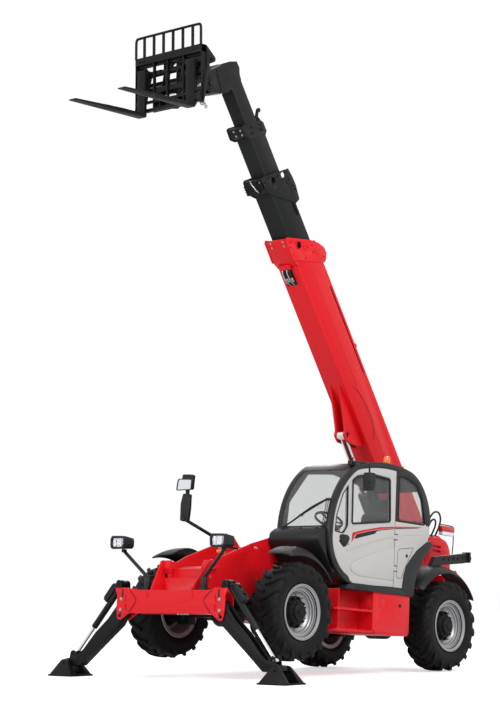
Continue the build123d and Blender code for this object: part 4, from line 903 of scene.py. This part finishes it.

# %% [markdown]
# The boom's mouths carry bolts, eyes, a hook and hose guides; weld lines, thin lap lines
# and the opening under it are strips of painted shade.  All of them are drawn along the boom.

# %% Boom fittings
BOLTS = {
    # body: finish, slot, (side plane, bolts on the side), (under plane, bolts under the lip)
    "boom": (RED, "red_paint",
             (186, [(4640, -50), (4716, -200), (4454, 117), (4770, -250), (4531, 109), (4300, 250),
                    (4700, -310)]),
             (-352, [(4805, -84), (4745, -84), (4805, 120), (4745, 120)])),
    "boom_1": (CAST_AND_SHADE, "boom_black",
               (160, [(5640, -200), (5589, 0), (5541, -150), (5516, 71), (5466, 180), (5360, 200),
                      (5300, 220), (5620, -290)]),
               (-333, [(5640, -100), (5590, -100), (5640, 100), (5590, 100)])),
    "boom_2": (CAST_AND_SHADE, "boom_black", (135, [(6331, -117), (6290, 64), (6223, 56), (6247, -130)]),
               (-293, [(6358, -25), (6357, 88), (6295, -10), (6295, 90)])),
}
for body, (coat, slot_name, (side_y, on_side), (under, below)) in BOLTS.items():
    for s, n in on_side:
        for side in (1, -1):
            bolt((s, side * side_y, n), (0, side, 0), 19, 9)
    placed(body + "_collar_bolts", coat, BOOM, body)
    for s, y in below:
        bolt((s, y, under), (0, 0, -1), 19, 9)
    placed(body + "_lip_bolts", STEEL, BOOM, body)

for side in (1, -1):
    for s, n, radius in ((4660, -150, 58), (4574, -36, 44)):
        spun([(radius - 10, 0), (radius - 10, 7), (radius, 7), (radius, 0)], steps=32,
             centre=(s, side * 186, n), side=side)
for s in (1050, 2968):
    plate([(s - 45, 215), (s - 28, 270), (s, 284), (s + 28, 270), (s + 45, 215)], 120, 134)
plate([(4410, -345), (4410, -299), (4480, -299), (4480, -352)], -120, 70)
for y in (-120, 58):
    brick((4160, y, -312), (4480, y + 12, -299))
placed("boom_fittings", RED, BOOM, "boom", bevel=1.2)
# The boom's weld lines are thin beads in dark red painted shade, standing for the shade in the weld
# grooves.
WELD_LINE = [(2560, -160), (2499, -110), (2307, -39), (2005, -24), (1840, -70), (1735, -150)]
for side in (1, -1):
    hose(f"boom_weld_shade_{side}", [(s, side * 172, n) for s, n in WELD_LINE], 4, SHADE_RED, BOOM, "boom")
# The opening under the boom where the hoses go in is a dark plate of painted shade.
brick((4170, -100, -306), (4400, 54, -298))
placed("boom_opening_shade", SEAL_AND_SHADE, BOOM, "boom")
HOSE_Y = (-84, -48, -10, 30)
for k, y in enumerate(HOSE_Y):
    hose(f"boom_hose_{k}", [(4410, y, -325), (4372, y, -352), (4290, y + 6, -348),
                            (4210, y + 10, -330), (4180, y + 12, -302)],
         10, SEAL_AND_SHADE if k % 2 else STEEL, BOOM, "boom")
for y in HOSE_Y:
    drum((4296, y + 4, -350), (4236, y + 8, -338), 14, sides=12)
placed("hose_ferrules", STEEL, BOOM, "boom", bevel=1)

brick((5500, -140, -366), (5662, 70, -331))
brick((5560, 70, -360), (5640, 140, -333))
for k in range(4):
    drum((5520 + 34 * k, -150, -352), (5520 + 34 * k, -120, -372), 13, sides=12)
brick((4984, 147, 88), (5180, 160, 120))
placed("hose_carrier", BLACK, BOOM, "boom_1", bevel=3)
hose("carrier_pipe", [(5690, -20, -352), (5660, 0, -380), (5600, 30, -384), (5540, 50, -376),
                      (5510, 60, -350)], 8, STEEL, BOOM, "boom_1")
plate([(6300, 108), (6392, 108), (6468, 190), (6462, 246), (6430, 256), (6404, 230), (6412, 196),
       (6370, 158), (6318, 180), (6296, 160)], 52, 70)
plate([(6290, 108), (6330, 108), (6340, 150), (6300, 150)], -70, 70)
placed("stop_hook", BLACK, BOOM, "boom_2", bevel=4)
for side in (1, -1):
    plate([(6905, 58), (6905, -150), (6935, -372), (7040, -352), (7205, -320), (7226, -160),
           (7198, -20), (7150, 108), (7062, 116), (6985, 72)], side * 103, side * 109, rounding=8)
    for s, n in ((7011, -31), (7090, 60), (6980, -60), (6980, -150), (6990, -250), (7150, -60)):
        bolt((s, side * 109, n), (0, side, 0), 18, 2)
plate([(7050, 96), (7062, 118), (7140, 111), (7134, 94)], -104, 104)
placed("head_hood", DARK_PAINT, BOOM, "boom_3", bevel=3)
# Lap lines are thin strips of painted shade, dark red on the base section and black on the inner
# sections, standing for the shade at each lap.
for body, half, n, s0, s1, coat in (
        ("boom", 172, -76, 900, 4310, SHADE_RED), ("boom_1", 146, -5, 4500, 5300, SEAL_AND_SHADE),
        ("boom_2", 123, -50, 5300, 6150, SEAL_AND_SHADE)):
    for side in (1, -1):
        brick((s0, side * half, n), (s1, side * (half + 0.3), n + 4))
    placed(body + "_lap_shade_line", coat, BOOM, body)

# %% [markdown]
# Nose: tabs, weld seams and slots in painted shade, and bolts on the front plate, the beam
# cut off under its ears, the lugs of the leg rams, and a marker and a rubber on the left side.

# %% Nose
EAR_CUT = 812
NOSE_X = 4140
for side in (1, -1):
    for y in (362, 372):
        brick((NOSE_X, side * y - 3, 690), (NOSE_X + 7, side * y + 3, 784))
    plate([(3690, 1098), (3815, 1060), (3815, 944), (3900, 944), (3900, 785), (3888, 785),
           (3888, 932), (3803, 932), (3803, 1050), (3686, 1086)], side * 281, side * 352)
for side in (1, -1):
    plate([(3846, 1152), (3854, 1162), (3900, 1072), (3868, 1000), (3858, 1008), (3888, 1070)],
          side * 262, side * 392)
# the outer sides of the tabs follow the leaning ears of the front plate
for vert in bm.verts:
    if abs(vert.co.y) > 340 and vert.co.x < 4000:
        vert.co.y = math.copysign(326 + (vert.co.z - 785) * 0.181, vert.co.y)
placed("nose_tabs", RED, bevel=1.5)
beam = joined("stabiliser_frame")
cut_above(beam, LEVEL @ Vector((4100, 0, EAR_CUT)), LEVEL.to_3x3() @ Vector((0, 0, 1)), 1e-6)
bevel_sharp(beam, 0.005)
piece = close_piece("stabiliser_beam", beam, RED)
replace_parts(piece, "stabiliser_frame")
for side in (1, -1):
    for x, outer, way in ((3979, 3979, -1), (4126, 4141, 1)):
        plate([(side * a, z) for a, z in (
            (815, EAR_CUT - 6), (818, 868), (836, 898), (865, 908), (894, 898), (912, 868),
            (915, EAR_CUT - 6))], x, x + 15, "x")
        bolt((outer, side * 865, 865), (way, 0, 0), 34, 12)
placed("ram_lugs", BLACK, bevel=3)
# The V weld seams on the front plate are beads in dark red painted shade, standing for the shade in the
# seam grooves.
NOSE_SEAM = [(668, 782), (560, 690), (548, 655), (600, 580), (668, 510)]
for side in (1, -1):
    hose(f"nose_weld_shade_{side}", [(NOSE_X + 2, side * y, z) for y, z in NOSE_SEAM], 5, SHADE_RED)
# The slots in the front plate are not cut; thin dark plates of painted shade stand where they are.
for side in (1, -1):
    for y, z0, z1 in ((786, 692, 792), (806, 452, 520)):
        brick((NOSE_X, side * y - 13, z0), (NOSE_X + 3, side * y + 13, z1))
placed("nose_slot_shades", SEAL_AND_SHADE, LEVEL, "chassis", bevel=0.5)
for side in (1, -1):
    for y, z in ((800, 676), (806, 544)):
        bolt((NOSE_X + 2, side * y, z), (1, 0, 0), 26, 12)
for y in (120, 170, 220, 270):
    bolt((4100, y, 506), (0, 0, -1), 24, 14)
placed("nose_bolts", STEEL)
brick((3520, 302, 1262), (3680, 308, 1296))
placed("side_marker", AMBER, bevel=3)
brick((3300, 302, 1330), (3560, 312, 1356))
for k in range(3):
    bolt((3340 + 90 * k, 312, 1343), (0, 1, 0), 14, 7)
placed("side_rubber", SEAL_AND_SHADE, bevel=3)

# %% [markdown]
# A foot is a flat plate with a low pyramid of folded steel on it.  The leg comes down
# between the two halves of the pyramid and turns on a pin, so each half is the hull of
# a wide base and a narrow top, and a round boss ends the pin outside.

# %% Feet
for hand, _ in HANDS:
    low, high = [corner * 1000 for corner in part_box("pad_" + hand)]
    x, y, _ = (low + high) / 2
    brick((x - 190, y - 205, 0), (x + 190, y + 205, 22))
    for way in (1, -1):
        corners = [(x + way * a, y + half * b, z) for half in (-1, 1) for a, b, z in (
            (85, 190, 20), (180, 190, 20), (85, 58, 200), (112, 50, 200), (85, 30, 214))]
        hull = bmesh.ops.convex_hull(bm, input=ring_of(corners))
        inner = of_kind(hull["geom_interior"], bmesh.types.BMVert)
        bmesh.ops.delete(bm, geom=inner, context="VERTS")
        drum((x + way * 84, y, 165), (x + way * 126, y, 165), 34, 30)
        bolt((x + way * 126, y, 165), (way, 0, 0), 30, 12)
    piece = placed(f"foot_pad_{hand}", BLACK, MM, f"foot_{hand}", bevel=4)
    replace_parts(piece, "pad_" + hand)

# %% [markdown]
# Work lamps: a deep rounded housing, a bright reflector with four bulbs, and a clear
# front, on a leaning arm that stands in a rubber boot.

# %% Work lamps
LAMP_MIDDLES = {"left": 785, "right": -855}
LAMP_STEM_Y = 462
LAMP_HOUSING = [(-116, 1306), (-90, 1278), (90, 1278), (120, 1312), (124, 1392), (106, 1436),
                (-96, 1440), (-122, 1400)]
LAMP_FRONT = [(-102, 1312), (-84, 1292), (84, 1292), (106, 1318), (108, 1390), (94, 1424),
              (-86, 1426), (-106, 1396)]
shells = []
for hand, side in HANDS:
    middle = LAMP_MIDDLES[hand]
    stem = side * LAMP_STEM_Y
    housing, front = [[(middle + y, z) for y, z in line] for line in (LAMP_HOUSING, LAMP_FRONT)]
    plate(housing, 4020, 4190, "x")
    for vert in bm.verts:
        if vert.co.x < 4100:
            vert.co.y = middle + (vert.co.y - middle) * 0.82
            vert.co.z = 1357 + (vert.co.z - 1357) * 0.8
    band(housing, 4186, 4214, 26, "x", rounding=14)
    brick((4060, middle - 20, 1246), (4110, middle + 20, 1284))
    drum((4085, middle, 1262), (4050, stem, 940), 22, sides=16)
    drum((4050, stem, 800), (4050, stem, 946), 45, 36)
    brick((3990, stem - 50, 785), (4100, stem + 50, 812))
    shells.append(placed(f"work_lamp_{hand}", PLASTIC, bevel=7))
    plate(front, 4188, 4194, "x")
    for row in (1334, 1384):
        for k in (-46, 46):
            drum((4192, middle + k, row), (4204, middle + k, row), 12, 23)
    brick((4192, middle - 92, 1356), (4203, middle + 92, 1361))
    placed(f"work_bulbs_{hand}", BULB)
    plate(front, 4205, 4209, "x")
    placed(f"work_lens_{hand}", LENS, bevel=1)
for shell in shells:
    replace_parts(shell, "work_lamps")
print("work lamps:", len(shells))

# %% [markdown]
# Mirrors, the beacon, the rear lamps and the two hose loops behind the cab are drawn
# at their places one by one.

# %% Mirrors and lamps
plate([(1518, 2102), (1682, 2102), (1690, 2320), (1526, 2330)], 2384, 2424, "x", rounding=26)
drum((2424, 1604, 2216), (2442, 1604, 2216), 22, 16)
brick((2060, 1060, 2470), (2150, 1130, 2530))
drum((2100, 1100, 2526), (2080, 1090, 2580), 10, 6, sides=12)
left_mirror = placed("mirror_left", PLASTIC, bevel=9, angle=50)
hose("mirror_arm_left", [(2404, 1604, 2326), (2404, 1604, 2420), (2330, 1500, 2452), (2200, 1240, 2496),
                         (2110, 1100, 2500)], 12, BLACK)
plate([(1532, 2118), (1670, 2116), (1676, 2308), (1538, 2316)], 2380, 2385, "x", rounding=20)
placed("mirror_glass_left", MIRROR)

plate([(-962, 1738), (-830, 1735), (-812, 1900), (-812, 2080), (-930, 2088), (-966, 1960)], 2950, 2998,
      "x", rounding=18)
plate([(-985, 2140), (-800, 2137), (-786, 2330), (-968, 2339)], 2930, 2985, "x", rounding=24)
brick((2955, -900, 2070), (2985, -850, 2150))
band([(-1010, 2122), (-748, 2124), (-740, 2264), (-985, 2276)], 3026, 3052, 12, "x", rounding=26)
drum((2985, -890, 2190), (3030, -890, 2190), 16, sides=16)
for start, end, radius in (
        ((2975, -900, 1760), (2325, -720, 1480), 22), ((2325, -720, 1000), (2325, -720, 1492), 17),
        ((2940, -905, 1760), (3010, -905, 1760), 30)):
    drum(start, end, radius, sides=16)
brick((2302, -750, 985), (2350, -690, 1050))
right_mirror = placed("mirror_right", PLASTIC, bevel=6, angle=50)
plate([(-1001, 2131), (-757, 2133), (-749, 2256), (-978, 2267)], 3036, 3042, "x", rounding=20)
plate([(-975, 2150), (-812, 2147), (-798, 2320), (-958, 2328)], 2925, 2931, "x", rounding=18)
placed("mirror_glass_right", MIRROR)
for mirror in (left_mirror, right_mirror):
    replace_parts(mirror, "mirrors")

BEACON = (-120, 755)
drum((*BEACON, 1540), (*BEACON, 1640), 46, 50)
base = placed("beacon_base", PLASTIC, CAB, bevel=5)
drum((*BEACON, 1636), (*BEACON, 1738), 45, 42, sides=32)
dome = placed("beacon_dome", AMBER, CAB, bevel=16)
for piece in (base, dome):
    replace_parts(piece, "roof_beacon")

TAIL_BRACKET = [(-6, 1830), (14, 1930), (-40, 1932), (-300, 1930), (-318, 1900), (-320, 1700),
                (-300, 1560)]
for hand, side in HANDS:
    brick((-292, side * 935, 1842), (0, side * 1010, 1915))
    placed(f"tail_lens_red_{hand}", RED_LENS, bevel=8)
    brick((-280, side * 939, 1792), (-20, side * 1006, 1841))
    placed(f"tail_lens_clear_{hand}", BULB, bevel=8)
    hose(f"tail_bracket_{hand}", [(x, side * 972, z) for x, z in TAIL_BRACKET], 7, BLACK)
    drum((-700, side * 960, 1530), (-640, side * 960, 1530), 52, 44)
    drum((-704, side * 960, 1530), (-698, side * 960, 1530), 44)
    for k in range(5):
        bolt((-560 + 110 * k, side * 991, 1548 - 14 * k), (0, side, 0), 14, 7)
    placed(f"arm_lamp_{hand}", PLASTIC, bevel=4)

hose("tower_hose_outer", [(-250, 520, 1795), (-250, 600, 2010), (-300, 650, 2140), (-430, 660, 2140),
                          (-484, 650, 1990), (-480, 540, 1795)], 13, SEAL_AND_SHADE)
hose("tower_hose_inner", [(-310, 500, 1795), (-310, 560, 1940), (-340, 600, 2040), (-410, 610, 2040),
                          (-440, 590, 1940), (-440, 500, 1795)], 13, SEAL_AND_SHADE)
for x, y in ((-250, 520), (-480, 540), (-310, 500), (-440, 500)):
    drum((x, y, 1780), (x, y + 6, 1826), 20, sides=6)
placed("hose_unions", STEEL, bevel=1)

# %% [markdown]
# The tank cap, the vents and the handle of the engine hood, and the filler lid.

# %% Body fittings
drum((1052, 1128, 788), (1052, 1140, 788), 26, 22)
placed("tank_cap", SEAL_AND_SHADE, bevel=3)
for k in range(6):
    brick((1000, -1142, 1190 + 34 * k), (1500, -1130, 1208 + 34 * k))
for x in (1750, 1930):
    brick((x, -1150, 1260), (x + 20, -1130, 1290))
brick((1750, -1156, 1262), (1950, -1146, 1288))
placed("hood_fittings", SEAL_AND_SHADE, LEVEL, "hood", bevel=3)
drum((1440, 1088, 800), (1440, 1131, 800), 68)
placed("filler_lid", RED, bevel=3)
